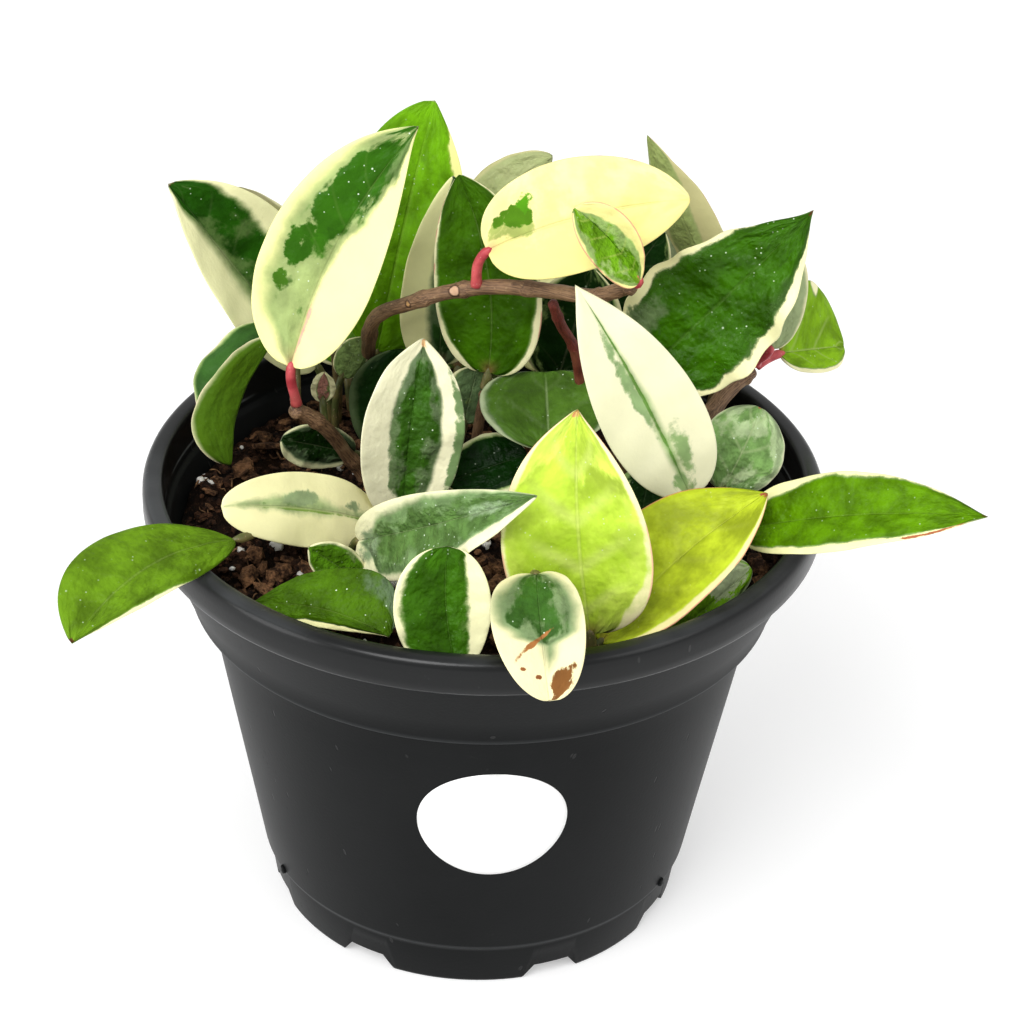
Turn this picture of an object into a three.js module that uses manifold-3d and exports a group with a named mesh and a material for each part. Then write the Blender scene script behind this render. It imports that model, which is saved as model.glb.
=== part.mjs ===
// A potted wax plant with cream and green leaves in a black nursery pot.
// Millimetres, +Z up. The origin is the centre of the pot's flat underside and -Y is the front.
import * as THREE from "three";
import { mergeVertices } from "three/addons/utils/BufferGeometryUtils.js";
import Module from "manifold-3d";

const wasm = await Module();
wasm.setup();

// Pot sizes
const RIM_RADIUS = 80;
const RIM_TOP = 113.5;
const LIP_HEIGHT = 8.5;
const LIP_WIDTH = 4.2;
const COLLAR_TOP_RADIUS = 77.6;
const COLLAR_FOOT_RADIUS = 69.8;
const COLLAR_FOOT_HEIGHT = 85.4;
const WALL_TOP_RADIUS = 66;
const WALL_FOOT_RADIUS = 53.2;
const WALL_FOOT_HEIGHT = 13;
const BASE_RADIUS = 50.4;
const WALL_THICKNESS = 1.7;
const FLOOR_THICKNESS = 2.6;
const NOTCH_HEIGHT = 4.2;
const NOTCH_TOP_WIDTH = 8.8;
const NOTCH_FOOT_WIDTH = 14.6;
const NOTCH_REACH = 7;
const NOTCH_TURNS = [-158, -119, -67, -28, 22, 61, 113, 152];
const LUG_TURNS = [-150, -30, 30, 150];

// Soil, stems and leaves
const SOIL_LEVEL = 97.8;
const SOIL_SLOPE = 0.018;
const SOIL_DEPTH = 88;
const GAP = 0.3;
const LEAF_THICKNESS = 1.2;
const LEAF_STEPS = 6;
const PETIOLE_RADIUS = 1.2;
const TUBE_SIDES = 5;

const group = new THREE.Group();

const rad = (degrees) => (degrees * Math.PI) / 180;
const vec = (list) => new THREE.Vector3(list[0], list[1], list[2]);

// A closed three.js geometry as a solid that can be joined and cut.
function solidOf(geometry) {
  const bare = geometry.clone();
  bare.deleteAttribute("normal");
  bare.deleteAttribute("uv");
  const merged = mergeVertices(bare, 1e-4);
  const mesh = new wasm.Mesh({
    numProp: 3,
    vertProperties: new Float32Array(merged.attributes.position.array),
    triVerts: new Uint32Array(merged.index.array),
  });
  return new wasm.Manifold(mesh);
}

// A solid back as a three.js geometry.
function geometryOf(solid) {
  const mesh = solid.getMesh();
  const geometry = new THREE.BufferGeometry();
  const points = new THREE.BufferAttribute(mesh.vertProperties, 3);
  geometry.setAttribute("position", points);
  geometry.setIndex(new THREE.BufferAttribute(mesh.triVerts, 1));
  geometry.computeVertexNormals();
  return geometry;
}

function addPiece(name, solid, color, roughness) {
  const material = new THREE.MeshStandardMaterial({ color, roughness, metalness: 0 });
  const mesh = new THREE.Mesh(geometryOf(solid), material);
  mesh.name = name;
  group.add(mesh);
}

// A round rod along a curve.
function rod(curve, radius, steps) {
  const section = new THREE.Shape();
  for (let i = 0; i < TUBE_SIDES; i++) {
    const angle = (2 * Math.PI * i) / TUBE_SIDES;
    const x = radius * Math.cos(angle);
    const y = radius * Math.sin(angle);
    if (i === 0) section.moveTo(x, y);
    else section.lineTo(x, y);
  }
  const options = { steps, extrudePath: curve, bevelEnabled: false };
  return solidOf(new THREE.ExtrudeGeometry(section, options));
}

// The radius of a hole whose flats clear a rod of this radius.
const holeRadius = (radius) => radius / Math.cos(Math.PI / TUBE_SIDES) + GAP;

// The soil's surface: a little heaped at the middle, higher at the left, and lumpy.
function soilHeight(x, y) {
  const heap = 1.5 * (1 - (x * x + y * y) / 5000);
  const lumps = Math.sin(0.31 * x + 1) * Math.sin(0.27 * y + 2);
  const crumbs = Math.sin(0.83 * x + 0.4 * y) * Math.sin(0.71 * y - 0.3 * x + 1);
  return SOIL_LEVEL - SOIL_SLOPE * x + heap + 0.9 * lumps + 0.4 * crumbs;
}

// Pot: a moulded shell with a rolled lip, a collar over a stepped wall and a notched foot.
function potSolid() {
  const lipFoot = RIM_TOP - LIP_HEIGHT;
  const t = WALL_THICKNESS;
  const profile = [
    [0, 0],
    [BASE_RADIUS, 0],
    [WALL_FOOT_RADIUS - 1, WALL_FOOT_HEIGHT - 1.2],
    [WALL_FOOT_RADIUS, WALL_FOOT_HEIGHT],
    [WALL_TOP_RADIUS, COLLAR_FOOT_HEIGHT - 0.6],
    [COLLAR_FOOT_RADIUS - 0.2, COLLAR_FOOT_HEIGHT - 0.4],
    [COLLAR_FOOT_RADIUS, COLLAR_FOOT_HEIGHT],
    [COLLAR_FOOT_RADIUS, COLLAR_FOOT_HEIGHT + 0.7],
    [COLLAR_TOP_RADIUS - 0.4, lipFoot - 0.6],
    [COLLAR_TOP_RADIUS, lipFoot],
    [RIM_RADIUS - 0.9, lipFoot],
    [RIM_RADIUS - 0.1, lipFoot + 0.9],
    [RIM_RADIUS, lipFoot + 4],
    [RIM_RADIUS - 0.1, RIM_TOP - 1.6],
    [RIM_RADIUS - 0.8, RIM_TOP - 0.4],
    [RIM_RADIUS - 1.8, RIM_TOP],
    [RIM_RADIUS - LIP_WIDTH, RIM_TOP],
    [RIM_RADIUS - LIP_WIDTH - 0.5, RIM_TOP - 0.8],
    [COLLAR_TOP_RADIUS - t - 0.9, lipFoot - 2],
    [COLLAR_TOP_RADIUS - t - 1.7, lipFoot - 2.6],
    [COLLAR_FOOT_RADIUS - t, COLLAR_FOOT_HEIGHT + 1.4],
    [WALL_TOP_RADIUS - t - 0.3, COLLAR_FOOT_HEIGHT - 2.4],
    [WALL_FOOT_RADIUS - t - 0.3, WALL_FOOT_HEIGHT],
    [BASE_RADIUS - t - 0.4, FLOOR_THICKNESS],
    [0, FLOOR_THICKNESS],
  ];
  const points = profile.map(([r, z]) => new THREE.Vector2(r, z));
  const lathe = new THREE.LatheGeometry(points, 42);
  lathe.rotateX(Math.PI / 2);
  let pot = solidOf(lathe);
  for (const turn of NOTCH_TURNS) pot = pot.subtract(notchSolid(turn));
  for (const turn of LUG_TURNS) pot = pot.add(lugSolid(turn));
  return pot;
}

// One drain notch's cutter: a bar across the foot ring, narrower at its top.
function notchSolid(turn) {
  const below = 1;
  const slope = (NOTCH_FOOT_WIDTH - NOTCH_TOP_WIDTH) / 2 / NOTCH_HEIGHT;
  const foot = NOTCH_FOOT_WIDTH / 2 + slope * below;
  const shape = new THREE.Shape();
  shape.moveTo(-foot, -below);
  shape.lineTo(foot, -below);
  shape.lineTo(NOTCH_TOP_WIDTH / 2, NOTCH_HEIGHT);
  shape.lineTo(-NOTCH_TOP_WIDTH / 2, NOTCH_HEIGHT);
  const bar = new THREE.ExtrudeGeometry(shape, {
    depth: NOTCH_REACH + 5,
    bevelEnabled: false,
  });
  bar.rotateX(Math.PI / 2);
  bar.rotateZ(Math.PI / 2);
  bar.applyMatrix4(new THREE.Matrix4().makeTranslation(BASE_RADIUS - NOTCH_REACH, 0, 0));
  bar.rotateZ(rad(turn));
  return solidOf(bar);
}

// A small stacking lug on the edge of the foot step.
function lugSolid(turn) {
  const width = 1.6;
  const shape = new THREE.Shape();
  shape.moveTo(WALL_FOOT_RADIUS - 1.2, WALL_FOOT_HEIGHT - 0.7);
  shape.lineTo(WALL_FOOT_RADIUS + 0.7, WALL_FOOT_HEIGHT - 0.4);
  shape.lineTo(WALL_FOOT_RADIUS + 0.8, WALL_FOOT_HEIGHT + 0.6);
  shape.lineTo(WALL_FOOT_RADIUS - 0.4, WALL_FOOT_HEIGHT + 2);
  const lug = new THREE.ExtrudeGeometry(shape, { depth: width, bevelEnabled: false });
  lug.translate(0, 0, -width / 2);
  lug.rotateX(Math.PI / 2);
  lug.rotateZ(rad(turn));
  return solidOf(lug);
}

// The inner radius of the pot at a height, for the soil that fills it.
function soilRadius(z) {
  const t = WALL_THICKNESS + 0.4 + GAP;
  const collarRise = (z - COLLAR_FOOT_HEIGHT) / (RIM_TOP - LIP_HEIGHT - COLLAR_FOOT_HEIGHT);
  const wallRise = (z - WALL_FOOT_HEIGHT) / (COLLAR_FOOT_HEIGHT - WALL_FOOT_HEIGHT);
  if (z > COLLAR_FOOT_HEIGHT)
    return COLLAR_FOOT_RADIUS + (COLLAR_TOP_RADIUS - COLLAR_FOOT_RADIUS) * collarRise - t;
  return WALL_FOOT_RADIUS + (WALL_TOP_RADIUS - WALL_FOOT_RADIUS) * wallRise - t;
}

// Soil: one solid plug from just over the floor up to its lumpy surface.
function soilSolid() {
  const floor = FLOOR_THICKNESS + GAP;
  const edge = SOIL_LEVEL - 1;
  const profile = [
    [0, floor],
    [BASE_RADIUS - WALL_THICKNESS - 1.2, floor],
    [soilRadius(WALL_FOOT_HEIGHT) - 0.3, WALL_FOOT_HEIGHT],
    [soilRadius(COLLAR_FOOT_HEIGHT - 3) - 0.3, COLLAR_FOOT_HEIGHT - 3],
    [soilRadius(COLLAR_FOOT_HEIGHT + 2.2) - 0.3, COLLAR_FOOT_HEIGHT + 2.2],
    [soilRadius(edge) - 0.4, edge],
    [64, edge],
    [52, edge],
    [39, edge],
    [26, edge],
    [13, edge],
    [0, edge],
  ];
  const points = profile.map(([r, z]) => new THREE.Vector2(r, z));
  const lathe = new THREE.LatheGeometry(points, 26);
  lathe.rotateX(Math.PI / 2);
  const position = lathe.attributes.position;
  for (let i = 0; i < position.count; i++) {
    const x = position.getX(i);
    const y = position.getY(i);
    const z = position.getZ(i);
    if (z > edge - 0.01 && Math.hypot(x, y) < 65) position.setZ(i, soilHeight(x, y));
  }
  return solidOf(lathe);
}

// Sticker: a blank oval on the front of the wall, bent to the cone.
function labelSolid() {
  const halfWidth = 17.5;
  const halfHeight = 16.8;
  const middle = 55.7;
  const turn = -85.5;
  const thickness = 0.6;
  const standOff = 0.3;
  const slope = (WALL_TOP_RADIUS - WALL_FOOT_RADIUS) / (COLLAR_FOOT_HEIGHT - WALL_FOOT_HEIGHT);
  const disc = new THREE.BufferGeometry();
  const rings = [0.35, 0.7, 1];
  const count = 32;
  const positions = [];
  const index = [];
  const place = (px, py, depth) => {
    const z = middle + halfHeight * py;
    const r = WALL_FOOT_RADIUS + slope * (z - WALL_FOOT_HEIGHT) + standOff + depth;
    const angle = rad(turn) + (halfWidth * px) / (WALL_FOOT_RADIUS + slope * 40);
    positions.push(r * Math.cos(angle), r * Math.sin(angle), z);
  };
  for (const depth of [0, thickness]) {
    place(0, 0, depth);
    for (const ring of rings) {
      for (let i = 0; i < count; i++) {
        const angle = (2 * Math.PI * i) / count;
        place(ring * Math.cos(angle), ring * Math.sin(angle), depth);
      }
    }
  }
  const layer = 1 + rings.length * count;
  for (const side of [0, 1]) {
    const tri = (p, q, s) => {
      if (side === 1) index.push(p + layer, q + layer, s + layer);
      else index.push(p, s, q);
    };
    for (let i = 0; i < count; i++) {
      const next = (i + 1) % count;
      tri(0, 1 + i, 1 + next);
      for (let k = 0; k < rings.length - 1; k++) {
        const inner = 1 + k * count;
        const outer = inner + count;
        tri(inner + i, outer + i, outer + next);
        tri(inner + i, outer + next, inner + next);
      }
    }
  }
  const rim = 1 + (rings.length - 1) * count;
  for (let i = 0; i < count; i++) {
    const next = (i + 1) % count;
    index.push(rim + i, rim + next, rim + next + layer);
    index.push(rim + i, rim + next + layer, rim + i + layer);
  }
  disc.setAttribute("position", new THREE.Float32BufferAttribute(positions, 3));
  disc.setIndex(index);
  return solidOf(disc);
}

// The midrib, cross section and surface of one leaf.
// s runs from 0 at the base to 1 at the tip, v from -1 at the left edge to 1 at the right.
function leafSurface(leaf) {
  const base = vec(leaf.base);
  const chord = vec(leaf.tip).sub(base);
  const length = chord.length();
  const along = chord.clone().normalize();
  const face = vec(leaf.face);
  face.addScaledVector(along, -face.dot(along)).normalize();
  const side = new THREE.Vector3().crossVectors(along, face);
  const { width, full = 0.5, point = 0.6, arch = 0, sway = 0, twist = 0 } = leaf;
  const { fold = 0, cup = 0, wave = 0, waves = 2, left = 1, right = 1 } = leaf;
  const { leftFull = full, leftPoint = point, rightFull = full, rightPoint = point } = leaf;
  const midrib = (s) =>
    base
      .clone()
      .addScaledVector(along, length * s)
      .addScaledVector(face, arch * 4 * s * (1 - s))
      .addScaledVector(side, sway * 4 * s * (1 - s));
  const halfWidth = (s, share, start, end) => {
    const inner = Math.min(Math.max(s, 0.004), 0.996);
    const widest = start / (start + end);
    const rise = Math.pow(inner / widest, start);
    const fall = Math.pow((1 - inner) / (1 - widest), end);
    return Math.max((width / 2) * share * rise * fall, 0.6);
  };
  const leftWidth = (s) => halfWidth(s, left, leftFull, leftPoint);
  const rightWidth = (s) => halfWidth(s, right, rightFull, rightPoint);
  return (s, v) => {
    const before = midrib(Math.max(s - 0.01, 0));
    const tangent = midrib(Math.min(s + 0.01, 1)).sub(before).normalize();
    const up = face.clone().addScaledVector(tangent, -face.dot(tangent)).normalize();
    up.applyAxisAngle(tangent, rad(twist) * (s - 0.5));
    const across = new THREE.Vector3().crossVectors(tangent, up);
    const reach = v > 0 ? rightWidth(s) : leftWidth(s);
    const start = rad(fold);
    const bend = rad(cup) || 1e-4;
    const end = start + bend * Math.abs(v);
    const out = (reach * (Math.sin(end) - Math.sin(start))) / bend;
    const lift = (reach * (Math.cos(start) - Math.cos(end))) / bend;
    const phase = v > 0 ? 0 : 2.2;
    const ripple = wave * v * v * Math.sin(2 * Math.PI * waves * s + phase);
    const fade = Math.sin(Math.PI * Math.min(1, s * 1.2));
    return midrib(s)
      .addScaledVector(across, out * Math.sign(v))
      .addScaledVector(up, lift + ripple * fade);
  };
}

// A leaf blade: the surface given thickness, its two faces split into triangles alike.
function bladeSolid(leaf, steps) {
  const surface = leafSurface(leaf);
  const columns = [-1, -0.5, 0, 0.5, 1];
  const count = columns.length;
  const half = (leaf.thickness || LEAF_THICKNESS) / 2;
  const rows = [];
  for (let i = 0; i <= steps; i++) rows.push(columns.map((v) => surface(i / steps, v)));
  const normals = rows.map((row, i) =>
    row.map((point, j) => {
      const ahead = rows[Math.min(i + 1, steps)][j];
      const behind = rows[Math.max(i - 1, 0)][j];
      const right = row[Math.min(j + 1, count - 1)];
      const left = row[Math.max(j - 1, 0)];
      const alongRow = new THREE.Vector3().subVectors(ahead, behind);
      const acrossRow = new THREE.Vector3().subVectors(right, left);
      return acrossRow.cross(alongRow).normalize();
    }),
  );
  const positions = [];
  for (const offset of [half, -half]) {
    rows.forEach((row, i) =>
      row.forEach((point, j) => {
        const moved = point.clone().addScaledVector(normals[i][j], offset);
        positions.push(moved.x, moved.y, moved.z);
      }),
    );
  }
  const layer = rows.length * count;
  const index = [];
  const quad = (p, q, r, s) => index.push(p, q, r, p, r, s);
  for (let i = 0; i < steps; i++) {
    for (let j = 0; j < count - 1; j++) {
      const p = i * count + j;
      const q = p + 1;
      const r = q + count;
      const s = p + count;
      index.push(p, q, r, p, r, s);
      index.push(p + layer, r + layer, q + layer, p + layer, s + layer, r + layer);
    }
  }
  for (let i = 0; i < steps; i++) {
    const p = i * count;
    const q = p + count;
    quad(p, q, q + layer, p + layer);
    const r = p + count - 1;
    const s = q + count - 1;
    quad(r, r + layer, s + layer, s);
  }
  for (let j = 0; j < count - 1; j++) {
    const p = j;
    const r = steps * count + j;
    quad(p, p + layer, p + 1 + layer, p + 1);
    quad(r, r + 1, r + 1 + layer, r + layer);
  }
  const geometry = new THREE.BufferGeometry();
  geometry.setAttribute("position", new THREE.Float32BufferAttribute(positions, 3));
  geometry.setIndex(index);
  return solidOf(geometry);
}

// The leaf stalk's path, from its foot in the soil or on a stem into the blade's base.
function petioleCurve(leaf, drop) {
  const surface = leafSurface(leaf);
  const base = surface(0, 0);
  const heading = surface(0.08, 0).sub(base).normalize();
  const foot = vec(leaf.foot);
  const gap = foot.distanceTo(base);
  const rise = leaf.rise ? vec(leaf.rise).normalize() : new THREE.Vector3(0, 0, 1);
  const start = foot.clone().addScaledVector(rise, -drop);
  const first = foot.clone().addScaledVector(rise, gap * 0.35);
  const second = base.clone().addScaledVector(heading, -gap * 0.3);
  const end = base.clone().addScaledVector(heading, 2.2);
  return new THREE.CubicBezierCurve3(start, first, second, end);
}

const leaves = [];
const stems = [];

function leaf(name, color, spec) {
  leaves.push({ name, color, ...spec });
}

function stem(name, color, radius, points) {
  const curve = new THREE.CatmullRomCurve3(points.map(vec), false, "centripetal");
  stems.push({ name, color, radius, curve, steps: points.length * 2 });
}

// Stems: a woody vine that arches over the middle, cut-back stems and a green runner behind.
const BARK = 0x7a6450;
stem("stem_arch", BARK, 2, [
  [-24, 45, SOIL_DEPTH],
  [-28, 38, 108],
  [-29, 28, 128],
  [-26.5, 13, 146],
  [-18, 6, 154],
  [-8, 4, 158.5],
  [2.5, 2, 161],
  [13, -1, 162],
  [23, -5, 163],
  [28, -7, 165.5],
  [32.5, -9, 168.5],
]);
stem("stem_red", 0x7a3030, 1.4, [
  [22, 15, SOIL_DEPTH],
  [22.5, 14.5, 108],
  [22, 13.5, 127],
  [20, 10, 141],
  [16.5, 5.5, 150],
  [14.2, 1.8, 158],
]);
stem("stem_cut_left", BARK, 2, [
  [-26, 18, SOIL_DEPTH],
  [-29, 16, 100],
  [-33, 12, 109],
  [-37, 6, 119],
  [-41.5, 2, 125.5],
  [-45.5, 0, 128.5],
]);
stem("stem_right", BARK, 2.4, [
  [43, 3, SOIL_DEPTH],
  [45.5, 6, 103],
  [48.5, 8.5, 114],
  [53, 14, 122.5],
  [58.5, 20, 127.5],
  [63.5, 24, 130],
]);
stem("stem_middle", BARK, 1.5, [
  [-4.5, 19, SOIL_DEPTH],
  [-3, 17, 105],
  [-1.5, 14.5, 120],
  [-0.3, 14, 127],
]);
stem("stem_back", 0x6f8a3c, 1.6, [
  [1, 44, SOIL_DEPTH],
  [2, 47, 112],
  [-3, 45, 136],
  [-9, 40, 150],
]);

// Leaves at the left and the top left
const CREAM = 0xe9e6b4;
const DEEP = 0x2f5d1e;
const BRIGHT = 0x5f9c17;
const LIME = 0xb5cc33;
const SAGE = 0x8fa487;
leaf("leaf_01", CREAM, {
  base: [-45, -4, 141.5],
  tip: [-17, 14, 194.5],
  face: [-0.15, -0.9, 0.4],
  foot: [-44, -0.5, 129],
  width: 30,
  point: 0.74,
  fold: 8,
  cup: 14,
  arch: 1.5,
  sway: -3.5,
  twist: 10,
  right: 0.88,
  rightFull: 0.55,
  rightPoint: 1,
  left: 1.03,
  leftPoint: 0.66,
});
leaf("leaf_02", CREAM, {
  base: [-41.5, 32.5, 121.5],
  tip: [-75, 22.5, 174],
  face: [0.55, -0.8, 0.2],
  foot: [-40, 34, SOIL_DEPTH],
  width: 31,
  full: 0.6,
  point: 0.98,
  fold: 14,
  cup: 10,
  arch: -2,
  left: 0.68,
  leftFull: 0.5,
  leftPoint: 0.95,
  right: 1.12,
  rightPoint: 0.6,
});
leaf("leaf_03", SAGE, {
  base: [-42.5, 46, 132.5],
  tip: [-62, 50, 160.5],
  face: [-0.6, 0.65, -0.5],
  foot: [-38, 42, SOIL_DEPTH],
  width: 22,
  point: 0.8,
  fold: 10,
  cup: 10,
});
leaf("leaf_04", DEEP, {
  base: [-48.5, 15.5, 140.5],
  tip: [-59.5, -3.5, 114.5],
  face: [-0.9, 0.05, 0.45],
  foot: [-44.5, 2.5, 127.5],
  width: 26,
  fold: 38,
  cup: 14,
  arch: 3.5,
  left: 1.15,
  leftFull: 1.1,
  leftPoint: 0.45,
  right: 1.12,
  rightFull: 0.5,
  rightPoint: 0.75,
});
leaf("leaf_05", BRIGHT, {
  base: [-27.5, 40, 122],
  tip: [-14.5, 44, 187.5],
  face: [-0.2, -0.95, 0.1],
  foot: [-29, 53, SOIL_DEPTH],
  width: 33,
  full: 0.55,
  point: 0.5,
  fold: 6,
  cup: 8,
  arch: 3,
  left: 0.95,
  leftPoint: 0.5,
  right: 1.05,
  rightFull: 0.6,
  rightPoint: 0.82,
});
leaf("leaf_06", CREAM, {
  base: [-12, 29, 125],
  tip: [-9.5, 31, 174.5],
  face: [0.25, -0.95, 0],
  foot: [-13, 29, SOIL_DEPTH],
  width: 22,
  full: 0.45,
  point: 0.7,
  fold: 8,
  cup: 8,
  arch: 2,
  sway: -1,
});

// Leaves at the top and the right
leaf("leaf_07", DEEP, {
  base: [0, 14, 131.5],
  tip: [-8, 20, 180],
  face: [-0.15, -1, 0.1],
  foot: [-0.3, 14, 127.5],
  width: 26,
  full: 0.42,
  fold: 10,
  cup: 6,
  sway: 3.5,
});
leaf("leaf_08", SAGE, {
  base: [-7.5, 38, 154.5],
  tip: [13.5, 44, 174.5],
  face: [-0.15, 1, -0.1],
  foot: [-9, 39.5, 151],
  width: 15,
  fold: 10,
  cup: 10,
  sway: 2,
  right: 0.9,
});
leaf("leaf_09", CREAM, {
  base: [-1, 0, 171],
  tip: [44, -2, 186.5],
  face: [-0.2, -0.85, 0.45],
  foot: [-3, 2.5, 160],
  width: 27,
  full: 0.45,
  fold: 6,
  cup: 10,
  arch: 2,
  sway: -2,
  right: 0.92,
});
leaf("leaf_10", DEEP, {
  base: [33.5, -11, 170.5],
  tip: [18, -14, 189.5],
  face: [0.3, -0.95, 0.1],
  foot: [32.5, -9, 168.5],
  width: 17,
  full: 0.4,
  point: 0.4,
  fold: 25,
  cup: 30,
  sway: 1,
  right: 0.95,
  rightFull: 0.8,
  rightPoint: 0.35,
  left: 0.95,
  leftPoint: 0.4,
});
leaf("leaf_11", SAGE, {
  base: [56, 40, 138],
  tip: [35, 30, 187],
  face: [0.25, 0.9, 0.3],
  foot: [52, 41, SOIL_DEPTH],
  width: 15,
  point: 0.9,
  fold: 10,
  cup: 14,
});
leaf("leaf_12", DEEP, {
  base: [35.5, 6, 137],
  tip: [72, 4, 182],
  face: [-0.25, -0.95, 0.15],
  foot: [36, 9, SOIL_DEPTH],
  width: 33.5,
  point: 0.98,
  fold: 8,
  cup: 8,
  wave: 1.2,
  waves: 2.5,
  sway: 0.5,
  right: 0.97,
  rightPoint: 0.85,
});
leaf("leaf_13", CREAM, {
  base: [47, -22, 121.5],
  tip: [19, -14, 170.5],
  face: [0.25, -0.9, 0.3],
  foot: [46, -21, SOIL_DEPTH],
  width: 25,
  full: 0.45,
  point: 0.85,
  fold: 10,
  cup: 6,
  arch: 2,
  sway: 1,
  leftFull: 0.6,
  right: 0.93,
});
leaf("leaf_14", SAGE, {
  base: [66.5, 18, 138.5],
  tip: [69, 26, 162],
  face: [0.1, 0.95, -0.3],
  foot: [63.5, 23, 131],
  width: 14,
  full: 0.45,
  point: 0.45,
  fold: 10,
  cup: 20,
});
leaf("leaf_15", BRIGHT, {
  base: [69.5, 28, 132],
  tip: [86.5, 42, 127],
  face: [0.65, -0.6, 0.45],
  foot: [63.5, 25, 130],
  width: 22,
  point: 0.4,
  fold: 8,
  cup: 10,
  left: 1.55,
  right: 0.55,
  rise: [1, 0.4, 0.4],
  leftFull: 0.45,
  leftPoint: 0.8,
  rightPoint: 0.4,
});
leaf("leaf_16", SAGE, {
  base: [55.5, -6, 113.5],
  tip: [64, 6, 129.5],
  face: [0.1, -0.85, 0.55],
  foot: [52, -9, SOIL_DEPTH],
  width: 20,
  point: 0.45,
  fold: 4,
  cup: -10,
  arch: 3,
});
leaf("leaf_17", BRIGHT, {
  base: [58.5, -29, 117.5],
  tip: [109.5, -52, 137.5],
  face: [-0.45, -0.55, 0.7],
  foot: [51, -28, SOIL_DEPTH],
  width: 20,
  full: 0.45,
  point: 0.75,
  fold: 6,
  cup: 8,
  arch: 3,
  sway: -1,
  right: 0.9,
});

// Leaves at the front
leaf("leaf_18", LIME, {
  base: [25, -55, 105.5],
  tip: [20, -48, 158.5],
  face: [-0.1, -1, 0.1],
  foot: [26, -58, SOIL_DEPTH],
  width: 34,
  full: 0.48,
  point: 0.68,
  fold: 6,
  cup: 8,
  arch: 3,
  sway: -1,
  left: 1,
  leftPoint: 0.62,
  right: 0.96,
  rightPoint: 0.8,
});
leaf("leaf_19", LIME, {
  base: [27.5, -52, 101],
  tip: [63.5, -33, 130],
  face: [-0.25, -0.5, 0.8],
  foot: [21, -45, SOIL_DEPTH],
  width: 30,
  full: 0.6,
  point: 0.85,
  fold: 10,
  cup: 6,
  arch: 2,
  sway: -1.5,
  right: 0.88,
  rightFull: 0.6,
  rightPoint: 0.7,
});
leaf("leaf_20", BRIGHT, {
  base: [42.5, -50, 101],
  tip: [61, -36, 112],
  face: [0.35, -0.85, 0.45],
  foot: [39, -50, SOIL_DEPTH],
  width: 15,
  point: 0.4,
  fold: 6,
  cup: 6,
  right: 0.55,
  left: 1.1,
  rightPoint: 0.45,
});
leaf("leaf_21", SAGE, {
  base: [-28.5, -24, 108],
  tip: [12, -61, 144.5],
  face: [-0.75, -0.6, 0.3],
  foot: [-29, -20, SOIL_DEPTH],
  width: 21,
  full: 0.45,
  point: 0.8,
  fold: 12,
  cup: 10,
  arch: 2,
  sway: 1,
  left: 0.75,
  right: 1.1,
});
leaf("leaf_22", CREAM, {
  base: [-24, -8, 102.5],
  tip: [-58.5, -32, 121],
  face: [0.6, -0.6, 0.55],
  foot: [-21, -6, SOIL_DEPTH],
  width: 17.5,
  full: 0.45,
  point: 0.42,
  fold: -6,
  cup: 10,
  arch: 3,
  sway: 1,
  rightPoint: 0.52,
});
leaf("leaf_23", CREAM, {
  base: [-19, -4, 102],
  tip: [-15, 4, 146],
  face: [0.2, -0.95, 0.2],
  foot: [-17, 0, SOIL_DEPTH],
  width: 26,
  point: 0.5,
  fold: 16,
  cup: 30,
  arch: 2,
  sway: -1,
});
leaf("leaf_24", DEEP, {
  base: [-32, 20, 105],
  tip: [-48.5, 10, 114.5],
  face: [0.45, -0.9, -0.1],
  foot: [-21, 30, SOIL_DEPTH],
  width: 12.5,
  point: 0.4,
  fold: 4,
  cup: 8,
});
leaf("leaf_25", DEEP, {
  base: [-19.5, 21, 100.5],
  tip: [-21, 23, 132.5],
  face: [0.05, -1, 0.1],
  foot: [-19, 19, SOIL_DEPTH],
  width: 26,
  point: 0.4,
  fold: 4,
  cup: -8,
});
leaf("leaf_26", DEEP, {
  base: [-9, 2, 108.5],
  tip: [10, 6, 114.5],
  face: [-0.1, -0.65, 0.75],
  foot: [-11, 2, SOIL_DEPTH],
  width: 16,
  point: 0.4,
  fold: 4,
  cup: 10,
});
leaf("leaf_27", DEEP, {
  base: [15, -2, 120.5],
  tip: [13.5, 16, 131.5],
  face: [0, -0.5, 0.85],
  foot: [15, -7, SOIL_DEPTH],
  width: 32,
  point: 0.35,
  fold: 10,
  cup: -6,
});
leaf("leaf_28", BRIGHT, {
  base: [-55, -36.5, 115],
  tip: [-86.5, -73.5, 111],
  face: [0.25, -0.4, 0.9],
  foot: [-47, 11, SOIL_DEPTH],
  width: 25,
  full: 0.6,
  fold: 0,
  cup: -10,
  arch: 4,
  sway: 4,
  left: 0.6,
  right: 1,
  rightFull: 1.05,
  rightPoint: 0.58,
  leftPoint: 0.8,
});
leaf("leaf_29", DEEP, {
  base: [-50.5, -48, 105.5],
  tip: [-19, -62, 107.5],
  face: [-0.3, -0.5, 0.85],
  foot: [-47, -40, SOIL_DEPTH],
  width: 18,
  full: 0.7,
  point: 0.45,
  fold: 4,
  cup: -10,
  arch: 2,
  sway: -2,
  left: 1.35,
  right: 0.55,
  leftFull: 1,
  leftPoint: 0.36,
  rightFull: 0.4,
  rightPoint: 0.9,
});
leaf("leaf_30", DEEP, {
  base: [-4, -68, 103],
  tip: [-7, -57, 128.5],
  face: [0.15, -0.7, 0.7],
  foot: [-4, -64, SOIL_DEPTH],
  width: 22,
  full: 0.45,
  point: 0.4,
  fold: 14,
  cup: 6,
  arch: -2,
  sway: -1,
  left: 1.15,
  leftPoint: 0.5,
  right: 0.9,
  rightPoint: 0.5,
});
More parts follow.
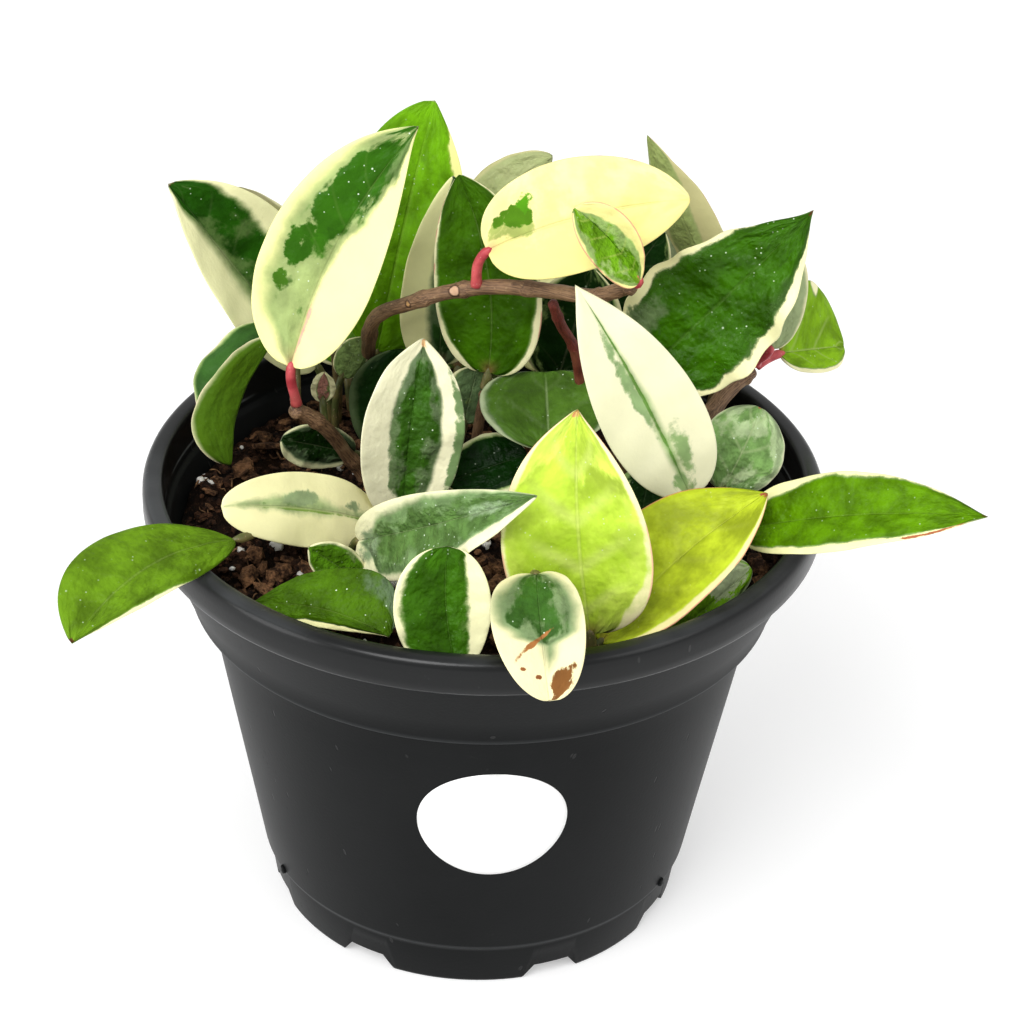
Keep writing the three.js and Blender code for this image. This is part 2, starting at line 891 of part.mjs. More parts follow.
leaf("leaf_31", CREAM, {
  base: [12.5, -64, 126.5],
  tip: [16, -88, 110.5],
  face: [-0.1, -0.45, 0.9],
  foot: [7, -63, SOIL_DEPTH],
  width: 22,
  point: 0.5,
  fold: 8,
  cup: 20,
  arch: 6,
  left: 0.9,
  leftPoint: 0.6,
});

// Small and half-hidden leaves among the stems
leaf("leaf_32", DEEP, {
  base: [-27, -33, 103],
  tip: [-38.5, -37, 114],
  face: [0.5, -0.85, 0.2],
  foot: [-24, -33, SOIL_DEPTH],
  width: 10,
  fold: 4,
  cup: 4,
});
leaf("leaf_33", SAGE, {
  base: [-35.5, 27, 122],
  tip: [-30.5, 28, 132.5],
  face: [-0.1, -0.95, 0.25],
  foot: [-35, 27, SOIL_DEPTH],
  width: 8,
});
leaf("leaf_34", CREAM, {
  base: [-39, 14, 122.5],
  tip: [-38.5, 12, 131.5],
  face: [0.1, -1, -0.15],
  foot: [-38, 5, 120],
  width: 6,
  rise: [0, 0.9, 0.5],
});
leaf("leaf_35", DEEP, {
  base: [16.5, 34, 118],
  tip: [24, 36, 149],
  face: [-0.1, -1, 0.1],
  foot: [14, 34, SOIL_DEPTH],
  width: 24,
});
leaf("leaf_36", SAGE, {
  base: [-5.5, 18, 115.5],
  tip: [-2.5, 19.5, 130.5],
  face: [0, -0.95, 0.3],
  foot: [-9, 18, SOIL_DEPTH],
  width: 14,
});
leaf("leaf_37", DEEP, {
  base: [36.5, -18, 112.5],
  tip: [38, -12, 123.5],
  face: [0, -0.85, 0.5],
  foot: [36, -19, SOIL_DEPTH],
  width: 14,
});
leaf("leaf_38", DEEP, {
  base: [24.5, 44, 128],
  tip: [41, 44, 155.5],
  face: [-0.25, -0.95, 0.15],
  foot: [25, 44, SOIL_DEPTH],
  width: 18,
});

// Leaves at the back
leaf("leaf_39", BRIGHT, {
  base: [-36, 50, 112],
  tip: [-54, 92, 116],
  face: [0, 0.2, 1],
  foot: [-34, 46, SOIL_DEPTH],
  width: 26,
  point: 0.7,
  arch: 6,
});
leaf("leaf_40", DEEP, {
  base: [-8, 50, 112],
  tip: [-14, 98, 114],
  face: [0, 0.2, 1],
  foot: [-8, 46, SOIL_DEPTH],
  width: 28,
  point: 0.7,
  arch: 6,
});
leaf("leaf_41", CREAM, {
  base: [12, 50, 112],
  tip: [24, 90, 124],
  face: [0, -0.2, 1],
  foot: [11, 46, SOIL_DEPTH],
  width: 24,
  point: 0.7,
  arch: 5,
});
leaf("leaf_42", BRIGHT, {
  base: [42, 42, 112],
  tip: [57, 82, 118],
  face: [0, 0.2, 1],
  foot: [40, 38, SOIL_DEPTH],
  width: 22,
  point: 0.7,
  arch: 6,
});
leaf("leaf_43", CREAM, {
  base: [-20, 54, 118],
  tip: [-34, 68, 162],
  face: [0, 1, 0.3],
  foot: [-18, 54, SOIL_DEPTH],
  width: 22,
  point: 0.7,
  arch: 4,
});
leaf("leaf_44", DEEP, {
  base: [34, 50, 122],
  tip: [46, 60, 160],
  face: [0, 1, 0.3],
  foot: [32, 50, SOIL_DEPTH],
  width: 20,
  point: 0.7,
  arch: 4,
});

// Put the pieces together: stems stand in holes in the soil, and leaves clear the stems.
let soil = soilSolid();
const stemHoles = [];
for (const s of stems) {
  s.solid = rod(s.curve, s.radius, s.steps);
  s.hole = rod(s.curve, holeRadius(s.radius), s.steps);
  soil = soil.subtract(s.hole);
  stemHoles.push(s);
}
const arch = stems.find((s) => s.name === "stem_arch");
for (const s of stems) {
  const solid = s.name === "stem_red" ? s.solid.subtract(arch.hole) : s.solid;
  addPiece(s.name, solid, s.color, 0.75);
}
for (const item of leaves) {
  const steps = item.width < 13 ? 5 : LEAF_STEPS;
  const radius = item.width < 13 ? 0.9 : PETIOLE_RADIUS;
  const stalk = rod(petioleCurve(item, 0), radius, 3);
  let solid = bladeSolid(item, steps).add(stalk);
  for (const s of stemHoles) solid = solid.subtract(s.hole);
  if (item.foot[2] === SOIL_DEPTH) {
    soil = soil.subtract(rod(petioleCurve(item, 0.5), holeRadius(radius), 3));
  }
  addPiece(item.name, solid, item.color, 0.35);
}
addPiece("pot", potSolid(), 0x26282a, 0.45);
addPiece("soil", soil, 0x3a2618, 0.95);
addPiece("label", labelSolid(), 0xf4f4f2, 0.5);

export default group;
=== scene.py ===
import math
import random

import bmesh
import bpy
from mathutils import Matrix, Vector, noise


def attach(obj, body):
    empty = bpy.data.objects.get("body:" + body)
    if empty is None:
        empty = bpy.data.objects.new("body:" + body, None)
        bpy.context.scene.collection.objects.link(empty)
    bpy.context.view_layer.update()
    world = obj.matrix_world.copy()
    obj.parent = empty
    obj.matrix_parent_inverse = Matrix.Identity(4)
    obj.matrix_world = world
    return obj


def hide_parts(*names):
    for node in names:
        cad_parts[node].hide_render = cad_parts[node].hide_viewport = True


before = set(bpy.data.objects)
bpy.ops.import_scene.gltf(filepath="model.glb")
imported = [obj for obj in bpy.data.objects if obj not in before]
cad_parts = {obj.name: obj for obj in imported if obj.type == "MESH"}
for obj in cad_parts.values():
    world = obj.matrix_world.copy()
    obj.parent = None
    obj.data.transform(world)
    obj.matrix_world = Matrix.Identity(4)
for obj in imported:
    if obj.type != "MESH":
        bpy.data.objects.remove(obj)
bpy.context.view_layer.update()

# Pot
# A nursery pot injection-moulded in one piece from black polypropylene: a rolled lip, a flared
# collar that stacks on the next pot, a tapered wall stepped in under it and a notched foot.
MM = 0.001
MERGE = 1e-6
POT_TURNS = 144
FOOT_RADIUS = 50
NOTCH_LENGTH = 14
NOTCH_BOTTOM = (16, -1)
NOTCH_TOP = (8.8, 4.2)
NOTCH_TURNS = (-158, -119, -67, -28, 22, 61, 113, 152)
LUG_SIZE = (2.2, 1.6, 2.0)
LUG_PLACE = (52.9, 0, 13.4)
LUG_ROUNDING = 0.4
LUG_TURNS = (-150, -30, 30, 150)
POT_OUTSIDE = [
    (0, 0), (44, 0), (49.4, 0), (50.2, 0.3), (50.45, 0.9), (51.9, 10.6), (52.1, 11.6),
    (52.6, 12.1), (53.1, 12.6), (53.25, 13.3), (56, 29), (60, 51.3), (64.4, 76), (65.7, 83.6),
    (65.95, 84.4), (66.5, 84.7), (68.7, 84.75), (69.4, 84.85), (69.75, 85.1), (69.85, 85.6),
    (69.9, 86.3), (72.2, 92.2), (75.1, 99.2), (77.1, 104), (77.35, 104.6), (77.8, 104.9),
    (78.9, 104.95), (79.4, 105.2), (79.75, 105.8), (79.95, 107.6), (79.99, 110), (79.9, 111.6),
    (79.5, 112.6), (78.9, 113.2), (78.2, 113.45), (76.4, 113.5), (75.7, 113.35), (75.3, 112.9),
]
POT_INSIDE = [
    (75.1, 111.5), (74.95, 103.4), (74.6, 102.8), (73.9, 102.4), (73.4, 101.8), (68.1, 87.1),
    (64.2, 83.2), (63.8, 82), (51.3, 13.2), (48.4, 3), (47, 2.6), (0, 2.6),
]


def new_object(name, mesh_maker, materials):
    """Fills a new mesh with what mesh_maker builds and gives it its materials."""
    shape = bmesh.new()
    mesh_maker(shape)
    mesh = bpy.data.meshes.new(name)
    shape.to_mesh(mesh)
    shape.free()
    made = bpy.data.objects.new(name, mesh)
    bpy.context.collection.objects.link(made)
    for material in materials:
        mesh.materials.append(material)
    return made


def settle(piece):
    """Applies a piece's modifiers, so that what shows is plain mesh."""
    graph = bpy.context.evaluated_depsgraph_get()
    baked = bpy.data.meshes.new_from_object(piece.evaluated_get(graph))
    piece.modifiers.clear()
    piece.data = baked


def seal(shape):
    """Turns all faces outward and shades them smooth."""
    bmesh.ops.recalc_face_normals(shape, faces=shape.faces)
    for face in shape.faces:
        face.smooth = True


class Tint:
    """A value or colour inside a material, so that sums on it read as ordinary sums."""

    def __init__(self, tree, socket):
        self.tree = tree
        self.socket = socket

    def node(self, kind, settings=None, inputs=None, output=0):
        made = self.tree.nodes.new("ShaderNode" + kind)
        for key, value in (settings or {}).items():
            if key == "stops":
                ramp = made.color_ramp
                ramp.interpolation = "EASE"
                while len(ramp.elements) < len(value):
                    ramp.elements.new(1)
                for element, (place, colour) in zip(ramp.elements, value):
                    element.position = place
                    element.color = (*colour, 1)
            else:
                setattr(made, key, value)
        for key, value in (inputs or {}).items():
            if isinstance(value, Tint):
                self.tree.links.new(value.socket, made.inputs[key])
            else:
                made.inputs[key].default_value = value
        return Tint(self.tree, made.outputs[output])

    def math(self, operation, *values):
        return self.node("Math", {"operation": operation}, dict(enumerate(values)))

    def __add__(self, other):
        return self.math("ADD", self, other)

    __radd__ = __add__

    def __sub__(self, other):
        return self.math("SUBTRACT", self, other)

    def __rsub__(self, other):
        return self.math("SUBTRACT", other, self)

    def __mul__(self, other):
        return self.math("MULTIPLY", self, other)

    __rmul__ = __mul__

    def smooth(self, low, high):
        """0 below low and 1 above high, with a soft step between."""
        settings = {"interpolation_type": "SMOOTHSTEP"}
        return self.node("MapRange", settings, {0: self, 1: low, 2: high, 3: 0.0, 4: 1.0})

    def mix(self, below, above):
        """The colour below where this is 0, and the colour above where it is 1."""
        inputs = {0: self, 6: colour_of(below), 7: colour_of(above)}
        return self.node("Mix", {"data_type": "RGBA"}, inputs, 2)

    def noise(self, vector, scale, detail=2.0, roughness=0.5):
        inputs = {"Vector": vector, "Scale": scale, "Detail": detail, "Roughness": roughness}
        return self.node("TexNoise", {}, inputs, "Fac")

    def spots(self, vector, scale, size, share):
        """Small round spots, one in some of the cells of a scattered grid."""
        cells = {"Vector": vector, "Scale": scale}
        distance = self.node("TexVoronoi", {}, cells, "Distance")
        chance = self.node("TexVoronoi", {}, cells, "Color")
        pick = self.node("SeparateColor", {}, {0: chance}).smooth(1 - share, 1 - share + 0.01)
        return distance.smooth(size, size * 0.5) * pick

    def bump(self, height, distance, strength=1.0):
        inputs = {"Height": height, "Distance": distance, "Strength": strength}
        return self.node("Bump", {}, inputs, "Normal")


def colour_of(value):
    return (*value, 1) if isinstance(value, tuple) and len(value) == 3 else value


def finish(name, **plain):
    """A new material: its shader, ready for what varies, and the plain settings on its sockets."""
    material = bpy.data.materials.new(name)
    material.use_nodes = True
    shader = material.node_tree.nodes["Principled BSDF"]
    for key, value in plain.items():
        shader.inputs[key.replace("_", " ")].default_value = value
    return material, Tint(material.node_tree, None), shader


def paint(start, shader, **varied):
    """Links what varies over the surface to the shader."""
    for key, value in varied.items():
        start.tree.links.new(value.socket, shader.inputs[key.replace("_", " ")])


def object_place(start):
    return start.node("TexCoord", {}, {}, "Object")


def pot_finish():
    material, start, shader = finish("black_plastic", IOR=1.49, Specular_IOR_Level=0.11,
                                     Coat_Roughness=0.22)
    place = object_place(start)
    height = start.node("SeparateXYZ", {}, {0: place}, 2) * (1 / MM)
    cloudy = start.noise(place, 26, 3.0)
    slanted = start.node("Mapping", {}, {"Vector": place, "Rotation": (0.3, 0.5, 0.4),
                                         "Scale": (1, 2.6, 0.6)})
    pits = start.spots(slanted, 210, 0.16, 0.16)
    dust = start.noise(place, 700, 5.0, 0.7).smooth(0.6, 0.8)
    base = cloudy.smooth(0.3, 0.7).mix((0.006, 0.0067, 0.007), (0.0095, 0.0103, 0.0107))
    colour = (dust * 0.25).mix(base, (0.05, 0.05, 0.05))
    colour = (pits * 0.3).mix(colour, (0.07, 0.07, 0.07))
    # Painted highlights: thin lighter lines on the collar's lower edge and on the foot step, where these
    # edges catch the light.
    collar_foot_highlight = height.smooth(83.4, 84.2) * height.smooth(86.4, 85.4)
    foot_step_highlight = height.smooth(10.8, 11.6) * height.smooth(13.4, 12.8)
    colour = ((collar_foot_highlight + foot_step_highlight) * 0.35).mix(colour, (0.06, 0.064, 0.066))
    # Painted highlights: a broken light line along the lip's lower edge, and a fainter one along its top
    # where the rolled lip catches the light.
    lip_edge = height.smooth(104.3, 104.8) * height.smooth(105.5, 105.0)
    edge_highlight = lip_edge * start.noise(place, 90).smooth(0.4, 0.6) * 0.8
    edge_highlight = edge_highlight + height.smooth(112.5, 113.1) * cloudy.smooth(0.4, 0.65) * 0.25
    colour = edge_highlight.mix(colour, (0.16, 0.17, 0.175))
    fine = start.noise(place, 1300, 2.0)
    roughness = cloudy * 0.14 + dust * 0.2 + 0.34
    gloss = height.smooth(104, 105.5) * 0.45 + 0.05
    paint(start, shader, Base_Color=colour, Roughness=roughness, Coat_Weight=gloss,
          Normal=start.bump(fine * 0.35 - pits * 2, 0.00012, 0.5))
    return material


def make_pot(shape):
    profile = POT_OUTSIDE + POT_INSIDE
    verts = [shape.verts.new((r * MM, 0, z * MM)) for r, z in profile]
    edges = [shape.edges.new(pair) for pair in zip(verts, verts[1:])]
    bmesh.ops.spin(shape, geom=verts + edges, cent=(0, 0, 0), axis=(0, 0, 1),
                   angle=math.tau, steps=POT_TURNS, use_merge=True)
    bmesh.ops.remove_doubles(shape, verts=shape.verts, dist=MERGE)
    seal(shape)


def make_notches(shape):
    """Cutters for the drain notches: bars across the foot ring, narrower at their top."""
    for turn in NOTCH_TURNS:
        cutter = bmesh.ops.create_cube(shape, size=1)["verts"]
        for vert in cutter:
            width, z = NOTCH_BOTTOM if vert.co.z < 0 else NOTCH_TOP
            x = FOOT_RADIUS + NOTCH_LENGTH * vert.co.x
            vert.co = Vector((x, width * vert.co.y, z)) * MM
        turned = Matrix.Rotation(math.radians(turn), 3, "Z")
        bmesh.ops.rotate(shape, cent=(0, 0, 0), matrix=turned, verts=cutter)


def make_lugs(shape):
    """Small rounded lugs on the edge of the foot step."""
    for turn in LUG_TURNS:
        lug = bmesh.ops.create_cube(shape, size=1)["verts"]
        bmesh.ops.scale(shape, vec=[size * MM for size in LUG_SIZE], verts=lug)
        edges = list({edge for vert in lug for edge in vert.link_edges})
        rounded = bmesh.ops.bevel(shape, geom=edges, offset=LUG_ROUNDING * MM, segments=2,
                                  profile=0.5, affect="EDGES", material=-1)
        lug = list({vert for face in rounded["faces"] for vert in face.verts}
                   | {vert for vert in lug if vert.is_valid})
        bmesh.ops.translate(shape, vec=[way * MM for way in LUG_PLACE], verts=lug)
        turned = Matrix.Rotation(math.radians(turn), 3, "Z")
        bmesh.ops.rotate(shape, cent=(0, 0, 0), matrix=turned, verts=lug)


black_plastic = pot_finish()
pot = new_object("nursery_pot", make_pot, [black_plastic])
notches = new_object("notch_cutters", make_notches, [])
cut = pot.modifiers.new("drain notches", "BOOLEAN")
cut.operation = "DIFFERENCE"
cut.object = notches
cut.solver = "EXACT"
settle(pot)
bpy.data.objects.remove(notches)
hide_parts("pot")
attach(pot, "root")
lugs = new_object("stacking_lugs", make_lugs, [black_plastic])
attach(lugs, "root")

# Label
# A blank oval paper sticker, die-cut and pressed on the front of the pot's wall.
# Its face is matt white with a faint fibre.
LABEL_MIDDLE = 55.7
LABEL_TURN = math.radians(-85.5)
LABEL_HALF = (17.4, 16.7)
LABEL_THICK = 0.25
LABEL_GLUE = 0.08
WALL_FOOT = (53.25, 13.3)
WALL_TOP = (65.7, 83.6)


def wall_radius(z):
    """The radius in mm of the pot's outer wall at a height in mm."""
    (foot, low), (top, high) = WALL_FOOT, WALL_TOP
    return foot + (top - foot) * (z - low) / (high - low)


def make_label(shape):
    bmesh.ops.create_circle(shape, cap_ends=True, segments=96, radius=1)
    for _ in range(9):
        middle = [face for face in shape.faces if len(face.verts) > 4]
        bmesh.ops.inset_individual(shape, faces=middle, thickness=0.1)
    bmesh.ops.poke(shape, faces=[face for face in shape.faces if len(face.verts) > 4])
    bmesh.ops.solidify(shape, geom=shape.faces[:], thickness=0.001)
    bmesh.ops.recalc_face_normals(shape, faces=shape.faces)
    for vert in shape.verts:
        x, y, depth = vert.co
        reach = min(1, math.hypot(x, y))
        lift = LABEL_THICK * math.sqrt(max(0, 1 - reach ** 30)) if abs(depth) > 0.0005 else 0
        z = LABEL_MIDDLE + LABEL_HALF[1] * y
        r = wall_radius(z) + LABEL_GLUE + lift
        angle = LABEL_TURN + LABEL_HALF[0] * x / wall_radius(LABEL_MIDDLE)
        vert.co = Vector((r * math.cos(angle), r * math.sin(angle), z)) * MM
    seal(shape)


def label_finish():
    material, start, shader = finish("label_paper", Roughness=0.5)
    place = object_place(start)
    fibre = start.noise(place, 700, 4.0, 0.6)
    colour = fibre.mix((0.86, 0.86, 0.85), (0.91, 0.91, 0.90))
    paint(start, shader, Base_Color=colour, Normal=start.bump(fibre, 0.00004, 0.5))
    return material


label = new_object("blank_label", make_label, [label_finish()])
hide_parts("label")
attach(label, "root")

# Potting mix
# Dark peat and shredded bark, filled to about 16 mm under the lip and lumpy from watering.
# Brown bark chips, white perlite grains and loose fibres lie on it.
SOIL_LEVEL = 97.8
SOIL_SLOPE = 0.018
SOIL_RADIUS = 71.5
SOIL_TOP = 102
SOIL_EDGE = 71.9
SOIL_SIDE = [
    (0, 0.25, (71.6, 95), (67.95, 88)), (0.25, 0.5, (67.6, 87.4), (63.5, 83)),
    (0.5, 0.9, (63.3, 82), (50.5, 11.6)), (0.9, 1, (48, 3), (0, 3)),
]
GRAIN_TOP = 103
HANDFUL = 50


def soil_height(x, y):
    """Height in mm of the potting mix, x and y in mm."""
    heap = 1.5 * (1 - (x * x + y * y) / 5000)
    lumps = math.sin(0.31 * x + 1) * math.sin(0.27 * y + 2)
    crumbs = math.sin(0.83 * x + 0.4 * y) * math.sin(0.71 * y - 0.3 * x + 1)
    return SOIL_LEVEL - SOIL_SLOPE * x + heap + 0.9 * lumps + 0.4 * crumbs


def rough_height(x, y):
    """The mix's height with its clods and crumbs."""
    place = Vector((x, y, 0))
    clods = noise.noise(place * 0.22) * 1.5 + abs(noise.noise(place * 0.5)) * 1.7
    grains = abs(noise.noise(place * 1.1)) * 0.9
    edge = max(0, 1 - (SOIL_RADIUS - math.hypot(x, y)) / 3)
    return min(soil_height(x, y) - 0.6 + clods + grains - 1.2 * edge, SOIL_TOP)


def soil_point(turn, way):
    """A point of the plug: way runs from the top's middle over the edge to the pot's floor.

    Under the edge it follows SOIL_SIDE: shares of the way down and the points at their ends.
    """
    angle = math.tau * turn
    if way < 0.8:
        r = SOIL_EDGE * way / 0.8
        x, y = r * math.cos(angle), r * math.sin(angle)
        return Vector((x, y, rough_height(x, y)))
    down = (way - 0.8) / 0.2
    for start, end, upper, lower in SOIL_SIDE:
        if down < end:
            break
    share = (down - start) / (end - start)
    r, z = (a + (b - a) * share for a, b in zip(upper, lower))
    return Vector((r * math.cos(angle), r * math.sin(angle), z))


def make_soil(shape):
    """A grid bent round into one closed plug."""
    grid = bmesh.ops.create_grid(shape, x_segments=300, y_segments=150, size=0.5)["verts"]
    for vert in grid:
        vert.co = soil_point((vert.co.x + 0.5) % 1, vert.co.y + 0.5) * MM
    bmesh.ops.remove_doubles(shape, verts=grid, dist=MERGE)
    seal(shape)


def soil_finish():
    material, start, shader = finish("potting_mix", Specular_IOR_Level=0.1)
    place = object_place(start)
    fine = start.noise(place, 900, 6.0, 0.7)
    coarse = start.noise(place, 170, 4.0, 0.6)
    dark = coarse.smooth(0.35, 0.65).mix((0.005, 0.003, 0.002), (0.028, 0.013, 0.007))
    colour = fine.smooth(0.55, 0.75).mix(dark, (0.14, 0.07, 0.035))
    roughness = fine * 0.3 + 0.62
    paint(start, shader, Base_Color=colour, Roughness=roughness,
          Normal=start.bump(fine + coarse, 0.0012))
    return material


potting_mix = soil_finish()
soil = new_object("potting_mix", make_soil, [potting_mix])
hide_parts("soil")
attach(soil, "root")


def grain_finish(name, dark, light, rough, depth):
    material, start, shader = finish(name, Roughness=rough, Specular_IOR_Level=0.2)
    place = object_place(start)
    blotch = start.noise(place, 240, 3.0, 0.6)
    streak = start.noise(place, 1400, 4.0, 0.6)
    colour = (blotch * 0.6 + streak * 0.4).smooth(0.38, 0.66).mix(dark, light)
    paint(start, shader, Base_Color=colour, Normal=start.bump(streak, depth))
    return material


def on_the_mix(reach=70.0):
    """A random place on the potting mix, in mm."""
    r = reach * math.sqrt(random.random())
    angle = random.uniform(0, math.tau)
    return r * math.cos(angle), r * math.sin(angle)


def chunk_of(shape, size, flats, sink, rounds):
    """One chunk with uneven corners at a random place on the mix, turned its own way."""
    x, y = on_the_mix()
    chunk = bmesh.ops.create_icosphere(shape, subdivisions=rounds, radius=0.5)["verts"]
    stretch = Vector((random.uniform(0.75, 1.5), random.uniform(0.6, 1), random.uniform(*flats)))
    turn = Matrix.Rotation(random.uniform(0, math.tau), 3, "Z")
    tip = Matrix.Rotation(random.uniform(-0.7, 0.7), 3, random.choice("XY"))
    z = rough_height(x, y) + size * sink
    for vert in chunk:
        corner = vert.co * random.uniform(0.75, 1.2)
        corner = Vector(a * b for a, b in zip(corner, stretch)) * size
        vert.co = (turn @ tip @ corner + Vector((x, y, min(z, GRAIN_TOP)))) * MM


def scatter(shape, count, sizes, flats, sink, rounds=1):
    """Strews chunks over the mix, a handful at a time, small ones more often than large ones."""
    for _ in range(count // HANDFUL):
        handful = bmesh.new()
        for _ in range(HANDFUL):
            size = sizes[0] + (sizes[1] - sizes[0]) * random.random() ** 1.6
            chunk_of(handful, size, flats, sink, rounds)
        strewn = bpy.data.meshes.new("handful")
        handful.to_mesh(strewn)
        handful.free()
        shape.from_mesh(strewn)
        bpy.data.meshes.remove(strewn)


random.seed(3)
crumb_finish = grain_finish("peat_crumbs", (0.007, 0.004, 0.003), (0.10, 0.045, 0.022), 0.9, 0.0005)
crumbs = new_object("peat_crumbs", lambda shape: scatter(shape, 5000, (0.6, 3.2), (0.4, 0.9), 0.1),
                    [crumb_finish])
bark_finish = grain_finish("bark_chips", (0.028, 0.012, 0.006), (0.32, 0.17, 0.085), 0.8, 0.0006)
chips = new_object("bark_chips", lambda shape: scatter(shape, 750, (1.6, 7.0), (0.25, 0.7), 0.16),
                   [bark_finish])
perlite_finish = grain_finish("perlite", (0.62, 0.60, 0.55), (0.9, 0.89, 0.86), 0.85, 0.0004)
perlite = new_object("perlite", lambda shape: scatter(shape, 150, (1.2, 3.2), (0.7, 1), 0.2, 2),
                     [perlite_finish])
for face in perlite.data.polygons:
    face.use_smooth = True
for piece in (crumbs, chips, perlite):
    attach(piece, "root")


def smooth_path(points, steps):
    """Points along a curve through the given points, evenly split between each two."""
    ends = [points[0] * 2 - points[1]] + points + [points[-1] * 2 - points[-2]]
    path = []
    for a, b, c, d in zip(ends, ends[1:], ends[2:], ends[3:]):
        for step in range(steps):
            t = step / steps
            path.append(0.5 * (2 * b + (c - a) * t + (2 * a - 5 * b + 4 * c - d) * t * t
                               + (3 * b - a - 3 * c + d) * t * t * t))
    return path + [points[-1]]


def rod(shape, path, radius, sides=10, slot=0):
    """A round rod along a path in mm. radius gives mm for a way along it and a turn round it."""
    rows = len(path) - 1
    before = set(shape.faces)
    grid = bmesh.ops.create_grid(shape, x_segments=sides, y_segments=rows, size=0.5)["verts"]
    frames = []
    side = Vector((1, 0, 0))
    for i, point in enumerate(path):
        heading = (path[min(i + 1, rows)] - path[max(i - 1, 0)]).normalized()
        side = (side - heading * side.dot(heading)).normalized()
        frames.append((point, side, heading.cross(side)))
    for vert in grid:
        turn = (vert.co.x + 0.5) % 1 * math.tau
        way = vert.co.y + 0.5
        point, side, lift = frames[round(way * rows)]
        reach = radius(way, turn)
        vert.co = (point + (side * math.cos(turn) + lift * math.sin(turn)) * reach) * MM
    bmesh.ops.remove_doubles(shape, verts=grid, dist=MERGE)
    made = [face for face in shape.faces if face not in before]
    for face in made:
        face.smooth = True
        face.material_index = slot
    return made


def make_fibres(shape):
    for _ in range(340):
        x, y = on_the_mix(67)
        turn = random.uniform(0, math.tau)
        reach = random.uniform(2.5, 8)
        curl = random.uniform(-0.6, 0.6)
        points = []
        for i in range(4):
            bent = turn + curl * i
            x += math.cos(bent) * reach / 4
            y += math.sin(bent) * reach / 4
            z = rough_height(x, y) + random.uniform(0.1, 1.3)
            points.append(Vector((x, y, min(z, GRAIN_TOP))))
        thick = random.uniform(0.12, 0.34)
        rod(shape, smooth_path(points, 2), lambda way, turn: thick * min(1, 8 * way, 8 - 8 * way), 5)
    bmesh.ops.recalc_face_normals(shape, faces=shape.faces)


fibre_finish = grain_finish("root_fibres", (0.07, 0.035, 0.018), (0.34, 0.2, 0.1), 0.8, 0.0002)
fibres = new_object("root_fibres", make_fibres, [fibre_finish])
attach(fibres, "root")

# Stems
# Two-year-old vines with grey-brown bark, a swollen ring at each joint, a few leaf scars and a
# pale cut end. The younger side vines are dark red or green. They all root in the potting mix.


def bark_finish_of(name, dark, light, scar, cuts=()):
    """Smooth bark with fine streaks along the vine, tan scars and small pale pores.

    cuts are round marks left by leaves or by the knife: their middle, radius in mm and colour.
    """
    material, start, shader = finish(name)
    place = object_place(start)
    grain = start.node("Attribute", {"attribute_name": "grain"}, {}, "Vector")
    streak = start.noise(grain, 8, 5.0, 0.65)
    patch = start.noise(place, 120, 3.0)
    pores = start.spots(place, 800, 0.3, 0.25)
    colour = (streak * 0.7 + patch * 0.3).smooth(0.36, 0.62).mix(dark, light)
    colour = (patch.smooth(0.56, 0.68) * 0.7).mix(colour, scar)
    colour = (pores * 0.4).mix(colour, scar)
    height = streak + patch * 0.5 + pores * 0.3
    for middle, size, tan in cuts:
        ends = {0: place, 1: Vector(middle) * MM}
        away = start.node("VectorMath", {"operation": "DISTANCE"}, ends, "Value") * (1 / (size * MM))
        away = away + (streak - 0.5) * 0.5
        colour = away.smooth(1.25, 1.0).mix(colour, dark)
        colour = away.smooth(0.95, 0.7).mix(colour, tan)
        height = height + away.smooth(1.25, 0.9) * 0.8
    paint(start, shader, Base_Color=colour, Roughness=streak * 0.25 + 0.38,
          Normal=start.bump(height, 0.0004, 0.7))
    return material


def make_stem(radius, points, joints):
    path = smooth_path([Vector(point) for point in points], 9)
    length = sum((b - a).length for a, b in zip(path, path[1:]))

    def reach(way, turn):
        ends = min(1, math.sqrt(max(0, (1 - way) * length / (0.8 * radius))),
                   math.sqrt(max(0, way * length / (0.8 * radius))))
        ring = sum(math.exp(-((way - joint) * length / 1.3) ** 2) for joint in joints)
        round_it = Vector((math.cos(turn), math.sin(turn), way * length * 0.2))
        rough = noise.noise(round_it * 1.3) * 0.09 + noise.noise(round_it * 4) * 0.03
        return radius * 0.87 * ends * (1 + 0.24 * ring + rough)

    def build(shape):
        rod(shape, path, reach, 20)
        bmesh.ops.recalc_face_normals(shape, faces=shape.faces)
        grain = shape.verts.layers.float_vector.new("grain")
        for vert in shape.verts:
            near = min(range(len(path)), key=lambda i: (path[i] * MM - vert.co).length)
            out = (vert.co / MM - path[near]) / radius
            vert[grain] = Vector((out.x, out.y, out.z + near * length / len(path) * 0.04))

    return build


